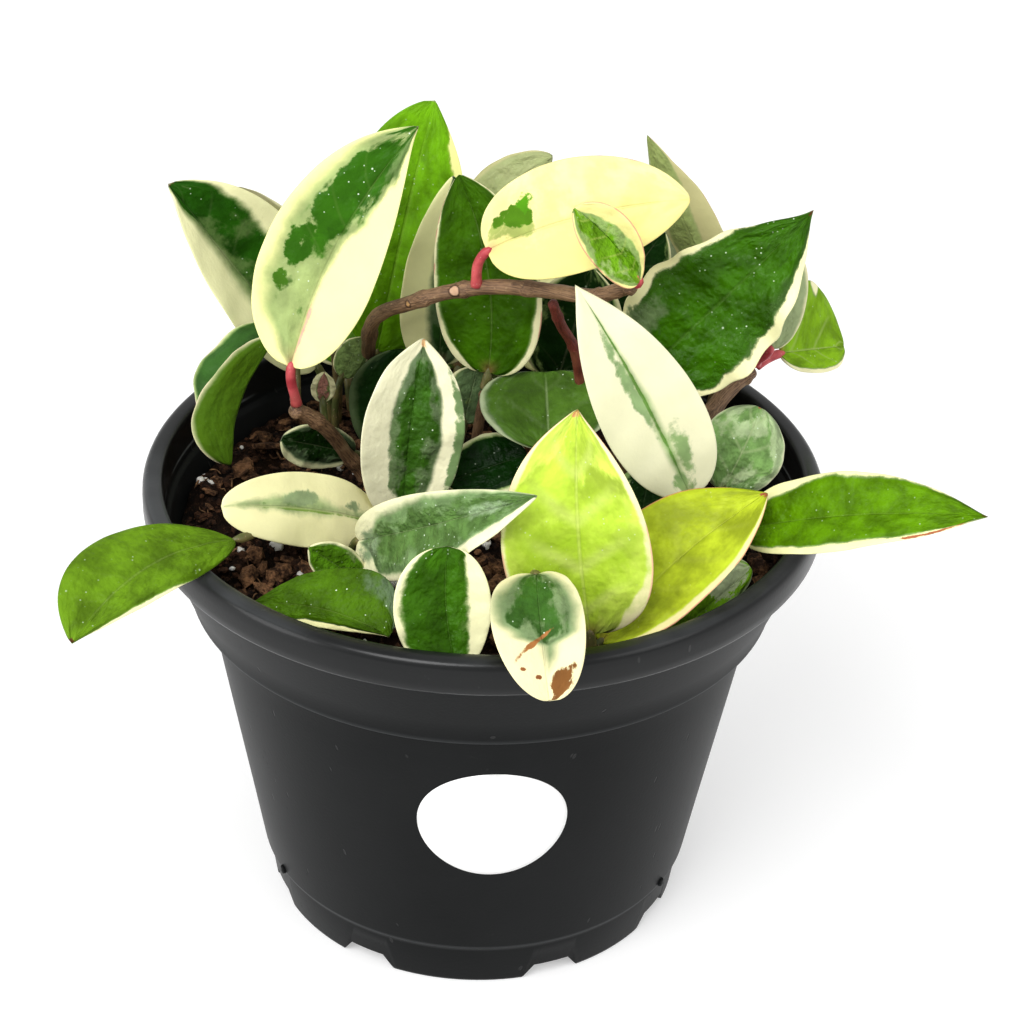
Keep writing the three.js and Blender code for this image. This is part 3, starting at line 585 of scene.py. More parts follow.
brown_bark = bark_finish_of(
    "brown_bark", (0.10, 0.052, 0.028), (0.36, 0.22, 0.12), (0.50, 0.34, 0.20),
    [((-8, 2.5, 159.3), 1.3, (0.62, 0.40, 0.26)), ((-18.4, 4.9, 154.4), 0.9, (0.55, 0.33, 0.14)),
     ((-46, -0.8, 129.4), 1.5, (0.72, 0.55, 0.30))])
red_bark = bark_finish_of("red_bark", (0.07, 0.012, 0.010), (0.24, 0.05, 0.035), (0.30, 0.10, 0.06))
green_bark = bark_finish_of("green_bark", (0.07, 0.11, 0.02), (0.2, 0.27, 0.06), (0.25, 0.2, 0.1))
STEMS = [
    ("stem_arch", brown_bark, "bark", 2.0, (0.25, 0.43, 0.52, 0.66, 0.83, 0.97),
     [(-24, 45, 88), (-28, 38, 108), (-29, 28, 128), (-26.5, 13, 146), (-18, 6, 154),
      (-8, 4, 158.5), (2.5, 2, 161), (13, -1, 162), (23, -5, 163), (28, -7, 165.5),
      (32.5, -9, 168.5)]),
    ("stem_red", red_bark, "red_stem", 1.4, (0.3, 0.62, 0.86),
     [(22, 15, 88), (22.5, 14.5, 108), (22, 13.5, 127), (20, 10, 141), (16.5, 5.5, 150),
      (14.2, 1.8, 158)]),
    ("stem_cut_left", brown_bark, "bark", 2.0, (0.35, 0.72, 0.93),
     [(-26, 18, 88), (-29, 16, 100), (-33, 12, 109), (-37, 6, 119), (-41.5, 2, 125.5),
      (-45.5, 0, 128.5)]),
    ("stem_right", brown_bark, "bark", 2.4, (0.3, 0.6, 0.9),
     [(43, 3, 88), (45.5, 6, 103), (48.5, 8.5, 114), (53, 14, 122.5), (58.5, 20, 127.5),
      (63.5, 24, 130)]),
    ("stem_middle", brown_bark, "bark", 1.5, (0.45, 0.93),
     [(-4.5, 19, 88), (-3, 17, 105), (-1.5, 14.5, 120), (-0.3, 14, 127)]),
    ("stem_back", green_bark, "green_stem", 1.6, (0.4, 0.75, 0.97),
     [(1, 44, 88), (2, 47, 112), (-3, 45, 136), (-9, 40, 150)]),
]
for node, bark, slot, radius, joints, points in STEMS:
    vine = new_object(node + "_vine", make_stem(radius, points, joints), [bark])
    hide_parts(node)
    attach(vine, "root")

# Leaves
# Thick waxy blades on short crimson or green stalks, folded a little along the midrib. Each has
# its own pattern: a green middle, patched with sage, that runs out into a cream or yellow margin.
CREAM = (0.88, 0.86, 0.44)
PALE = (0.85, 0.82, 0.52)
SAGE = (0.24, 0.34, 0.12)
GREY = (0.13, 0.20, 0.09)
DEEP = (0.028, 0.105, 0.004)
DARK = (0.010, 0.042, 0.006)
FRESH = (0.11, 0.26, 0.010)
PINK = (0.50, 0.13, 0.14)
BROWN = (0.13, 0.05, 0.02)
MARGIN = [(0, -0.7, 0.7), (0.1, -0.85, 0.85), (0.9, -0.85, 0.85), (1, -0.8, 0.8)]
LANES = [-1, -0.985, -0.95, -0.89, -0.8, -0.68, -0.54, -0.4, -0.27, -0.16, -0.08, -0.03]
LANES = LANES + [0.0] + [-lane for lane in reversed(LANES)]
LEAF_ROWS = 60
LEAF_THICK = 1


class Blade:
    """The curved sheet of one leaf. s runs from base to tip and v from edge to edge, -1 to 1.

    face is the way it looks. left and right are each edge's share of the width, or that with
    its own full and point: how slim it is at the base and at the tip. Lengths are in mm.
    """

    def __init__(self, base, tip, face, width, full=0.5, point=0.6, left=1, right=1, fold=0,
                 cup=0, arch=0, sway=0, twist=0, wave=0, waves=2, drip=0.3):
        self.base = Vector(base)
        chord = Vector(tip) - self.base
        self.length = chord.length
        self.along = chord.normalized()
        face = Vector(face)
        self.face = (face - self.along * face.dot(self.along)).normalized()
        self.side = self.along.cross(self.face)
        self.width = width
        self.edges = [edge if isinstance(edge, tuple) else (edge, full, point)
                      for edge in (left, right)]
        self.arch, self.sway, self.twist = arch, sway, math.radians(twist)
        self.fold, self.cup = math.radians(fold), math.radians(cup) or 1e-4
        self.wave, self.waves, self.drip, self.seed = wave, waves, drip, 0

    def midrib(self, s):
        bow = 4 * s * (1 - s)
        return (self.base + self.along * (self.length * s) + self.face * (self.arch * bow)
                + self.side * (self.sway * bow))

    def half_width(self, s, edge):
        share, full, point = edge
        widest = full / (full + point)
        rise = (s / widest) ** full
        fall = ((1 - s) / (1 - widest)) ** point
        drip = 1 - self.drip * math.exp(-(1 - s) / (0.05 + 0.05 * self.drip))
        drip += 0.014 * self.wave * math.sin(37 * s + self.seed + share) * math.sin(math.pi * s)
        return self.width / 2 * share * rise * fall * drip

    def row(self, s):
        """A function that gives the point and the thickness direction at each v of this row."""
        middle = self.midrib(s)
        tangent = (self.midrib(min(s + 0.01, 1)) - self.midrib(max(s - 0.01, 0))).normalized()
        up = (self.face - tangent * self.face.dot(tangent)).normalized()
        up.rotate(Matrix.Rotation(self.twist * (s - 0.5), 3, tangent))
        across = tangent.cross(up)
        left, right = (self.half_width(s, edge) for edge in self.edges)
        fade = math.sin(math.pi * min(1, s * 1.2))

        def place(v):
            reach = right if v > 0 else left
            end = self.fold + self.cup * abs(v)
            out = reach * (math.sin(end) - math.sin(self.fold)) / self.cup
            lift = reach * (math.cos(self.fold) - math.cos(end)) / self.cup
            phase = 0 if v > 0 else 2.2
            lift += self.wave * v * v * math.sin(math.tau * self.waves * s + phase) * fade
            lift += self.relief(s, v, reach)
            sign = 1 if v > 0 else -1
            tilt = math.cos(end)
            normal = up * tilt - across * (sign * math.sin(end))
            return middle + across * (out * sign) + up * lift, normal

        return place

    def relief(self, s, v, reach):
        """Fine form in mm: the midrib's groove, slow swellings and an uneven edge."""
        groove = -0.3 * math.exp(-((v * reach / 1.1) ** 2)) * min(1, 12 * s) * (1 - 0.7 * s)
        loose = noise.noise(Vector((s * 4, v * 1.6, self.seed * 3.7)))
        edge = noise.noise(Vector((s * 9, v, self.seed * 1.9 + 5)))
        ends = math.sin(math.pi * min(1, 5 * s) / 2) * min(1, (1 - s) * 6)
        swell = noise.noise(Vector((s * self.length, v * reach, self.seed * 5.1)) * 0.14)
        return groove + (swell * 0.5 + loose * 0.8 * abs(v) + edge * 0.45 * v * v) * ends


def make_leaf(blade, foot, rise, stalk):
    """Builds the blade as one closed sheet with a rounded edge, and its stalk."""
    columns = 2 * (len(LANES) - 1)

    def build(shape):
        along = shape.verts.layers.float.new("along")
        across = shape.verts.layers.float.new("across")
        under = shape.verts.layers.float.new("under")
        base = blade.midrib(0)
        heading = (blade.midrib(0.08) - base).normalized()
        gap = (foot - base).length
        corners = [foot, foot + rise * gap * 0.35, base - heading * gap * 0.3, base + heading * 2.2]
        path = [bezier(corners, i / 14) for i in range(15)]

        def girth(way, turn):
            flare = 0.25 * math.exp(-((way * gap) / 1.6) ** 2)
            close = min(1, math.sqrt(max(0, (1 - way) * gap / 1.5)))
            return stalk * (1.05 + flare - 0.12 * way) * close * min(1, 40 * way)

        rod(shape, path, girth, 10, 1)
        for vert in shape.verts:
            vert[along] = -1 - (vert.co / MM - base).length / 20
        grid = bmesh.ops.create_grid(shape, x_segments=columns, y_segments=LEAF_ROWS, size=0.5)
        cuts = {}
        for vert in grid["verts"]:
            turn = round((vert.co.x + 0.5) * columns) % columns
            way = vert.co.y + 0.5
            s = way * 0.65 + 0.35 * (0.5 - 0.5 * math.cos(math.pi * way))
            if s not in cuts:
                cuts[s] = blade.row(min(max(s, 0), 1))
            top = turn <= columns // 2
            v = LANES[turn if top else columns - turn]
            point, normal = cuts[s](v)
            ends = min(1, math.sqrt(max(0, s) / 0.03), math.sqrt(max(0, 1 - s) / 0.03))
            rounding = math.sqrt(1 - abs(v) ** 6) * (1 if top else -1)
            vert.co = (point + normal * (LEAF_THICK / 2 * rounding * ends)) * MM
            vert[along] = s
            vert[across] = v
            vert[under] = rounding
        bmesh.ops.remove_doubles(shape, verts=grid["verts"], dist=2 * MERGE)
        seal(shape)

    return build


def bezier(corners, t):
    a, b, c, d = corners
    u = 1 - t
    return a * (u * u * u) + b * (3 * u * u * t) + c * (3 * u * t * t) + d * (t * t * t)


def stalk_finish(name, dark, light):
    """Its own colour close under the blade, brown-green lower down, with small pale pores."""
    material, start, shader = finish(name, Roughness=0.42)
    place = object_place(start)
    below = start.node("Attribute", {"attribute_name": "along"}, {}, "Fac") * -1 - 1
    patch = start.noise(place, 220, 3.0)
    upper = patch.smooth(0.35, 0.7).mix(dark, light)
    woody = patch.smooth(0.35, 0.7).mix((0.09, 0.055, 0.025), (0.18, 0.14, 0.05))
    colour = (below + patch * 0.6).smooth(0.7, 1.3).mix(upper, woody)
    colour = (start.spots(place, 1400, 0.3, 0.25) * 0.5).mix(colour, (0.6, 0.35, 0.3))
    paint(start, shader, Base_Color=colour, Normal=start.bump(patch, 0.0004, 0.6))
    return material


crimson_stalk = stalk_finish("crimson_stalk", (0.40, 0.04, 0.055), (0.66, 0.13, 0.14))
green_stalk = stalk_finish("green_stalk", (0.09, 0.11, 0.03), (0.22, 0.18, 0.07))


def times(colour, share):
    return tuple(part * share for part in colour)


def leaf_finish(name, blade, green, cream=PALE, sage=SAGE, under=None, rim=None, rim_share=0.5,
                patches=0.3, fringe=0.1, jag=0.16, flush=0.4, rib=0.2, veins=0.06, broad=0.07,
                flecks=0.4, quilt=0.5, shine=0, blobs=(), core=MARGIN):
    """The waxy skin of one leaf.

    core lists how far the green middle reaches to the left and to the right at ways from base
    to tip. patches is the share of sage in it. fringe is how softly it runs out, left and right.
    blobs are marks at (s, v) with their length, width and colour, and where they need it a
    slant and a softness. veins is how clearly the side veins show and broad their width.
    rim is the colour of the very edge, quilt the depth of the dimples in the green skin.
    """
    material, start, shader = finish(name, IOR=1.45, Specular_IOR_Level=0.13 + shine)
    place = object_place(start)
    along = start.node("Attribute", {"attribute_name": "along"}, {}, "Fac")
    across = start.node("Attribute", {"attribute_name": "across"}, {}, "Fac")
    face = start.node("Attribute", {"attribute_name": "under"}, {}, "Fac")
    aspect = 2 * blade.length / blade.width
    far = across.math("ABSOLUTE", across)

    def leaf_noise(x, y, detail, shift, roughness=0.5):
        vector = start.node("CombineXYZ", {}, {0: along * aspect * x, 1: across * y,
                                               2: blade.seed * 7.3 + shift})
        return start.noise(vector, 1.0, detail, roughness)

    stops = [(s, ((low + 1.5) / 3, (high + 1.5) / 3, 0)) for s, low, high in core]
    reach = start.node("ValToRGB", {"stops": stops}, {0: along}, "Color")
    low = start.node("SeparateColor", {}, {0: reach}, 0) * 3 - 1.5
    high = start.node("SeparateColor", {}, {0: reach}, 1) * 3 - 1.5
    wander = leaf_noise(1.1, 1.0, 1.0, 0) - 0.5
    ragged = leaf_noise(3.4, 3.0, 5.0, 5, 0.62) - 0.5
    field = start.math("MINIMUM", across - low, high - across) + (wander * 1.3 + ragged) * jag
    if isinstance(fringe, tuple):
        fringe = across.smooth(-0.2, 0.2) * (fringe[1] - fringe[0]) + fringe[0]
    tone = leaf_noise(1.7, 1.5, 4.0, 3, 0.6)
    deep = tone.smooth(0.32, 0.68).mix(times(green, 0.7), times(green, 1.3))
    blotch = leaf_noise(1.5, 1.8, 5.0, 11, 0.58)
    bound = 0.74 - 0.46 * patches
    edgy = blotch + 0.09 - field.smooth(0, 0.5) * 0.16
    sage_share = edgy.smooth(bound - 0.05, bound + 0.07) * min(1, patches * 4)
    cloud = leaf_noise(2.2, 2.0, 3.0, 17)
    sage_tone = cloud.smooth(0.3, 0.7).mix(times(sage, 0.8), times(sage, 1.2))
    middle = sage_share.mix(deep, sage_tone)
    margin = tone.smooth(0.3, 0.7).mix(cream, times(cream, 0.95))
    colour = field.smooth(0 - fringe, 0.01).mix(margin, sage_tone)
    colour = field.smooth(-0.02, 0.05).mix(colour, middle)
    for s, v, long, wide, shade, *more in blobs:
        slant, soft = more + [0, 0.2][len(more):]
        off_v = across - v
        off_s = (along - s - off_v * slant) * (1 / long)
        off_v = off_v * (1 / wide)
        inside = 1 - off_s * off_s - off_v * off_v + (ragged * 4.5 + wander * 1.6)
        tinted = cloud.smooth(0.3, 0.7).mix(times(shade, 0.85), times(shade, 1.15))
        colour = inside.smooth(-soft * 0.6, soft * 1.4).mix(colour, tinted)
    pale_vein = tuple(0.65 * a + 0.35 * b for a, b in zip(green, cream))
    path = (along * aspect - far * 0.75 + wander * 0.25) * 1.5
    comb = path.math("FRACT", path) - 0.5
    comb = comb.math("ABSOLUTE", comb).smooth(broad, 0.0) * far.smooth(0.9, 0.3)
    line = far.smooth(0.04, 0.008) * along.smooth(1, 0.75)
    colour = (comb * veins * field.smooth(0, 0.1)).mix(colour, pale_vein)
    colour = (line * rib).mix(colour, pale_vein)
    if flush:
        colour = (along.smooth(0.1, 0.0) * far.smooth(0.5, 0.0) * flush).mix(colour, PINK)
    if rim:
        bite = leaf_noise(2.0, 0.3, 2.0, 31).smooth(0.72 - 0.5 * rim_share, 0.8 - 0.4 * rim_share)
        colour = (far.smooth(0.965, 0.995) * bite * 0.8).mix(colour, rim)
    # Small pale dots in clusters on the green: partly the skin's own pale specks, partly painted glints of
    # light that stand in for small highlights.
    if flecks:
        crowd = leaf_noise(1.6, 1.6, 2.0, 41).smooth(0.42, 0.6)
        dots = start.spots(place, 900, 0.22, 0.25) + start.spots(place, 260, 0.09, 0.25)
        colour = (dots * crowd * flecks * field.smooth(0, 0.1)).mix(colour, (0.7, 0.8, 0.65))
    back = under or tuple(0.5 * a + 0.3 * b + 0.1 for a, b in zip(green, cream))
    below = field.smooth(-0.12, 0.06).mix(times(cream, 0.8), back)
    colour = face.smooth(0.15, -0.15).mix(colour, (cloud * 0.3 + 0.55).mix(colour, below))
    dimples = leaf_noise(4.0, 3.6, 2.0, 51)
    grain = start.noise(place, 1600, 2.0)
    skin = (dimples + blotch * 0.7) * (field.smooth(-0.05, 0.2) * (quilt * 0.8) + quilt * 0.2)
    height = skin + grain * 0.03 - line * 0.1
    paint(start, shader, Base_Color=colour, Roughness=tone * 0.14 + grain * 0.1 + 0.27 - shine * 0.2,
          Normal=start.bump(height, 0.0022, 0.7))
    return material


def add_leaf(number, slot, foot, blade, rise=(0, 0, 1), stem=green_stalk, **look):
    """One leaf on a stalk that springs from foot the way rise points."""
    node = f"leaf_{number:02d}"
    blade.seed = number
    skin = leaf_finish(f"{node}_skin", blade, **look)
    stalk = 0.9 if blade.width < 13 else 1.2
    maker = make_leaf(blade, Vector(foot), Vector(rise).normalized(), stalk)
    piece = new_object(f"{node}_blade", maker, [skin, stem])
    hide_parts(node)
    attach(piece, "root")


# Leaves at the left and the top left, in the open beside the cut-back vine.
# The tallest one stands nearly upright at the vine's cut end.
add_leaf(
    1, "leaf_cream", (-44, -0.5, 129),
    Blade((-45, -4, 141.5), (-17, 14, 194.5), (-0.15, -0.9, 0.4), 30, left=(1.03, 0.5, 0.66),
          right=(0.88, 0.55, 1), fold=8, cup=14, arch=1.5, sway=-3.5, twist=10, drip=0.5),
    stem=crimson_stalk, green=(0.035, 0.13, 0.004), cream=(0.9, 0.87, 0.42), sage=(0.34, 0.42, 0.17),
    patches=0.4, fringe=(0.3, 0.16), jag=0.22, rib=0.12, flecks=1,
    blobs=[(0.8, -0.3, 0.12, 0.36, (0.035, 0.13, 0.004), 0.1),
           (0.6, -0.36, 0.1, 0.28, (0.035, 0.13, 0.004)), (0.43, -0.5, 0.1, 0.22, (0.035, 0.13, 0.004)),
           (0.29, -0.56, 0.05, 0.12, (0.06, 0.16, 0.01)),
           (0.17, 0.05, 0.15, 0.05, (0.75, 0.42, 0.32), 0, 0.8),
           (0.9, 0.45, 0.12, 0.3, (0.16, 0.25, 0.08), 0, 0.8), (1, -0.1, 0.012, 0.6, BROWN)],
    core=[(0, -0.05, 0), (0.06, -0.35, -0.05), (0.2, -0.66, -0.05), (0.5, -0.72, 0.02),
          (0.62, -0.68, 0.25), (0.75, -0.66, 0.42), (0.93, -0.8, 0.7), (1, -1, 0.9)])
add_leaf(
    2, "leaf_cream", (-40, 34, 88),
    Blade((-41.5, 32.5, 121.5), (-75, 22.5, 174), (0.55, -0.8, 0.2), 31, left=(0.68, 0.5, 0.95),
          right=(1.12, 0.6, 0.6), fold=14, cup=10, arch=-2),
    green=(0.018, 0.085, 0.003), cream=(0.9, 0.88, 0.54), sage=(0.16, 0.24, 0.08), patches=0.15,
    fringe=(0.4, 0.12), jag=0.2, flush=0, flecks=0.7, blobs=[(1, 0, 0.012, 0.8, BROWN)],
    core=[(0, 0, 0.6), (0.3, 0.02, 0.7), (0.6, 0, 0.66), (0.8, -0.05, 0.74), (0.93, -0.4, 0.9),
          (1, -1, 1)])
add_leaf(
    3, "leaf_sage", (-38, 42, 88),
    Blade((-42.5, 46, 132.5), (-62, 50, 160.5), (-0.6, 0.65, -0.5), 22, point=0.8, fold=10, cup=10),
    green=FRESH, under=(0.5, 0.42, 0.24))
add_leaf(
    4, "leaf_deep", (-44.5, 2.5, 127.5),
    Blade((-48.5, 15.5, 140.5), (-59.5, -3.5, 114.5), (-0.9, 0.05, 0.45), 26, left=(1.15, 1.1, 0.45),
          right=(1.12, 0.5, 0.75), fold=38, cup=14, arch=3.5),
    green=(0.04, 0.11, 0.02), under=(0.13, 0.25, 0.01), rim=(0.8, 0.6, 0.5), rim_share=0.6, patches=0.1,
    jag=0.1, flush=0, rib=0.1, veins=0, core=[(0, -0.9, 0.95), (0.5, -0.95, 0.95), (1, -0.9, 0.9)])
add_leaf(
    5, "leaf_bright", (-29, 53, 88),
    Blade((-27.5, 40, 122), (-14.5, 44, 187.5), (-0.2, -0.95, 0.1), 33, left=(0.95, 0.55, 0.5),
          right=(1.05, 0.6, 0.82), fold=6, cup=8, arch=3),
    green=(0.145, 0.34, 0.006), cream=(0.84, 0.84, 0.36), sage=(0.3, 0.46, 0.06), patches=0.05,
    fringe=0.06, jag=0.34, flush=0, rib=0.12, veins=0.03,
    core=[(0, -1.3, 1.1), (0.55, -1.3, 1.1), (0.66, -1.3, 0.78), (0.84, -1.3, 0.72), (0.93, -1.3, 1),
          (1, -1.4, 1.3)])
add_leaf(
    6, "leaf_cream", (-13, 29, 88),
    Blade((-12, 29, 125), (-9.5, 31, 174.5), (0.25, -0.95, 0), 22, full=0.45, point=0.7, fold=8, cup=8,
          arch=2, sway=-1),
    green=(0.025, 0.075, 0.012), cream=(0.92, 0.9, 0.5), sage=GREY, patches=0.4, fringe=0.2,
    core=[(0, -0.2, 0.6), (0.3, -0.25, 0.75), (0.8, -0.2, 0.8), (1, -0.2, 0.9)])

# Leaves at the top and the right, round the arch's end and the thick stem.
# Some of them turn their pale undersides to the front.
add_leaf(
    7, "leaf_deep", (-0.3, 14, 127.5),
    Blade((0, 14, 131.5), (-8, 20, 180), (-0.15, -1, 0.1), 26, full=0.42, fold=10, cup=6, sway=3.5),
    green=(0.052, 0.145, 0.002), rim=(0.62, 0.24, 0.2), patches=0.05, fringe=0.04, jag=0.1, rib=0.15,
    veins=0.03, quilt=0.7,
    core=[(0, -0.7, 0.8), (0.2, -0.9, 0.84), (0.5, -0.93, 0.93), (1, -0.95, 0.95)])
add_leaf(
    8, "leaf_sage", (-9, 39.5, 151),
    Blade((-7.5, 38, 154.5), (13.5, 44, 174.5), (-0.15, 1, -0.1), 15, right=0.9, fold=10, cup=10, sway=2),
    green=SAGE, cream=(0.62, 0.6, 0.32), under=(0.5, 0.52, 0.28))
add_leaf(
    9, "leaf_cream", (-3, 2.5, 160),
    Blade((-1, 0, 171), (44, -2, 186.5), (-0.2, -0.85, 0.45), 27, full=0.45, right=0.92, fold=6, cup=10,
          arch=2, sway=-2),
    stem=crimson_stalk, green=(0.09, 0.22, 0.01), cream=(0.8, 0.72, 0.3), rim=(0.8, 0.4, 0.32),
    rim_share=0.3, patches=0, fringe=0.05, jag=0.1, rib=0.05, veins=0, flecks=0.1, quilt=0.2,
    core=[(0, -1.5, -1.4), (1, -1.5, -1.4)],
    blobs=[(0.5, -0.75, 0.9, 0.8, (0.86, 0.8, 0.4), 0, 1.2),
           (0.86, 0.2, 0.3, 0.7, (0.84, 0.77, 0.3), 0, 1.2),
           (0.14, -0.26, 0.1, 0.3, (0.4, 0.46, 0.14), 0.1, 0.4),
           (0.19, -0.42, 0.09, 0.22, (0.09, 0.22, 0.01), 0.1), (0.26, -0.58, 0.05, 0.2, (0.1, 0.3, 0.01))])
add_leaf(
    10, "leaf_deep", (32.5, -9, 168.5),
    Blade((33.5, -11, 170.5), (18, -14, 189.5), (0.3, -0.95, 0.1), 17, left=(0.95, 0.4, 0.4),
          right=(0.95, 0.8, 0.35), fold=25, cup=30, sway=1),
    stem=crimson_stalk, green=(0.17, 0.36, 0.015), cream=(0.9, 0.82, 0.36), sage=(0.34, 0.48, 0.16),
    rim=(0.66, 0.22, 0.2), rim_share=0.9, patches=0.5, jag=0.3, rib=0.8, veins=0.5, broad=0.1, quilt=1,
    core=[(0, -0.7, 0.5), (0.15, -0.85, 0.7), (0.5, -0.95, 0.55), (0.8, -0.9, 0.3), (1, -0.8, 0)])
add_leaf(
    11, "leaf_sage", (52, 41, 88),
    Blade((56, 40, 138), (35, 30, 187), (0.25, 0.9, 0.3), 15, point=0.9, fold=10, cup=14),
    green=(0.2, 0.3, 0.07), cream=(0.72, 0.68, 0.36), under=(0.42, 0.48, 0.2), rim=PINK, rim_share=0.6,
    core=[(0, -0.3, 0.7), (0.5, -0.3, 0.8), (1, -0.9, 0.9)])
add_leaf(
    12, "leaf_deep", (36, 9, 88),
    Blade((35.5, 6, 137), (72, 4, 182), (-0.25, -0.95, 0.15), 33.5, point=0.98, right=(0.97, 0.5, 0.85),
          fold=8, cup=8, sway=0.5, wave=2, waves=3.5, drip=0.75),
    green=(0.042, 0.138, 0.001), cream=(0.9, 0.87, 0.52), sage=(0.1, 0.19, 0.05), patches=0.14,
    fringe=0.05, jag=0.3, rib=0.06, veins=0.02, flecks=0.8, quilt=1.8, shine=0.12,
    blobs=[(1, 0, 0.03, 0.9, (0.16, 0.05, 0.02)), (0.16, -0.6, 0.12, 0.25, (0.16, 0.24, 0.1), 0, 0.6)],
    core=[(0, -0.6, 0.7), (0.1, -0.72, 0.85), (0.4, -0.82, 0.8), (0.6, -0.86, 0.74), (0.8, -0.93, 0.84),
          (0.9, -1, 1), (1, -1.2, 1.2)])
add_leaf(
    13, "leaf_cream", (46, -21, 88),
    Blade((47, -22, 121.5), (19, -14, 170.5), (0.25, -0.9, 0.3), 25, full=0.45, point=0.85,
          left=(1, 0.6, 0.85), right=0.93, fold=10, cup=6, arch=2, sway=1, drip=0.5),
    green=(0.08, 0.19, 0.03), cream=(0.82, 0.8, 0.57), sage=(0.3, 0.42, 0.18), patches=0, fringe=0.18,
    jag=0.1, flush=0.15, rib=0, veins=0, flecks=0.2, quilt=0.25,
    core=[(0, -0.02, 0.02), (0.5, 0, 0), (1, 0.05, -0.05)],
    blobs=[(0.5, 0, 0.52, 0.045, (0.16, 0.3, 0.07), 0, 0.5),
           (0.2, 0.3, 0.13, 0.2, (0.26, 0.37, 0.16), 0, 0.6),
           (0.62, -0.16, 0.2, 0.12, (0.26, 0.37, 0.17), 0, 0.5),
           (0.42, -0.12, 0.15, 0.08, (0.3, 0.42, 0.2), 0, 0.5),
           (0.05, 0, 0.07, 0.4, (0.26, 0.38, 0.16), 0, 0.6)])
add_leaf(
    14, "leaf_sage", (63.5, 23, 131),
    Blade((66.5, 18, 138.5), (69, 26, 162), (0.1, 0.95, -0.3), 14, full=0.45, point=0.45, fold=10, cup=20),
    stem=crimson_stalk, green=SAGE, under=(0.4, 0.46, 0.27))
add_leaf(
    15, "leaf_bright", (63.5, 25, 130),
    Blade((69.5, 28, 132), (86.5, 42, 127), (0.65, -0.6, 0.45), 22, left=(1.55, 0.45, 0.8),
          right=(0.55, 0.5, 0.4), fold=8, cup=10),
    rise=(1, 0.4, 0.4), stem=crimson_stalk, green=(0.22, 0.4, 0.012), patches=0.05, fringe=0.05, rib=0.5,
    veins=0.35, broad=0.1,
    core=[(0, -1.1, 0.8), (0.3, -1.1, 0.85), (0.5, -0.8, 0.85), (0.6, -1.1, 0.9), (1, -1, 0.8)])
add_leaf(
    16, "leaf_sage", (52, -9, 88),
    Blade((55.5, -6, 113.5), (64, 6, 129.5), (0.1, -0.85, 0.55), 20, point=0.52, fold=4, cup=-10, arch=3),
    green=(0.2, 0.34, 0.11), cream=(0.7, 0.7, 0.48), sage=(0.42, 0.53, 0.29), patches=0.55, fringe=0.08,
    rib=0.6, veins=0.5, broad=0.12, flecks=0.8, quilt=1, blobs=[(1, 0, 0.03, 0.5, (0.42, 0.18, 0.08))],
    core=[(0, -0.9, 0.9), (0.5, -0.92, 0.92), (1, -0.92, 0.92)])
add_leaf(
    17, "leaf_bright", (51, -28, 88),
    Blade((58.5, -29, 117.5), (109.5, -52, 137.5), (-0.45, -0.55, 0.7), 20, full=0.45, point=0.75,
          right=0.9, fold=6, cup=8, arch=3, sway=-1, drip=0.75),
    green=(0.11, 0.245, 0.001), cream=(0.88, 0.86, 0.48), patches=0.03, fringe=0.06, rib=0.08, veins=0.03,
    quilt=0.7,
    blobs=[(1, 0, 0.02, 0.8, BROWN), (0.8, 0.95, 0.1, 0.05, (0.4, 0.14, 0.06))],
    core=[(0, -0.7, 0.85), (0.2, -0.74, 0.8), (0.4, -0.9, 0.78), (0.8, -0.95, 0.85), (1, -1, 1)])

# Leaves at the front, low over the potting mix and the lip.
# The broad yellow-green ones are this year's, and the one over the lip has a dry, brown tip.
add_leaf(
    18, "leaf_lime", (26, -58, 88),
    Blade((25, -55, 105.5), (20, -48, 158.5), (-0.1, -1, 0.1), 34, left=(1, 0.48, 0.62),
          right=(0.96, 0.48, 0.8), fold=6, cup=8, arch=3, sway=-1, drip=0.6),
    green=(0.47, 0.63, 0.07), cream=(0.9, 0.84, 0.5), sage=(0.59, 0.74, 0.12), rim=(0.8, 0.42, 0.3),
    rim_share=0.7, patches=0.45, fringe=0.05, jag=0.12, rib=0.3, veins=0.4, broad=0.26, quilt=0.6,
    blobs=[(0.99, 0, 0.02, 0.8, (0.66, 0.34, 0.14)), (0.3, 0, 0.34, 1, (0.36, 0.54, 0.03), 0, 1.8)],
    core=[(0, -0.85, 0.8), (0.12, -0.9, 0.68), (0.3, -0.92, 0.86), (0.85, -0.9, 0.88), (1, -0.9, 0.9)])
add_leaf(
    19, "leaf_lime", (21, -45, 88),
    Blade((27.5, -52, 101), (63.5, -33, 130), (-0.25, -0.5, 0.8), 30, full=0.6, point=0.85,
          right=(0.88, 0.6, 0.7), fold=10, cup=6, arch=2, sway=-1.5),
    green=(0.44, 0.53, 0.03), cream=(0.88, 0.8, 0.42), sage=(0.48, 0.6, 0.03), rim=(0.72, 0.26, 0.18),
    rim_share=0.8, fringe=0.05, jag=0.08, rib=0.15, veins=0.1, broad=0.2, flecks=0.2,
    blobs=[(1, 0, 0.03, 0.9, (0.42, 0.12, 0.06))], core=[(0, -1.1, 0.8), (0.5, -1.1, 0.86), (1, -1, 0.85)])
add_leaf(
    20, "leaf_bright", (39, -50, 88),
    Blade((42.5, -50, 101), (61, -36, 112), (0.35, -0.85, 0.45), 15, point=0.4, left=1.1,
          right=(0.55, 0.5, 0.45), fold=6, cup=6),
    green=(0.24, 0.5, 0.02), cream=(0.7, 0.76, 0.5), sage=(0.34, 0.46, 0.2), fringe=0.2,
    blobs=[(0.78, -0.2, 0.22, 0.7, (0.56, 0.66, 0.4))])
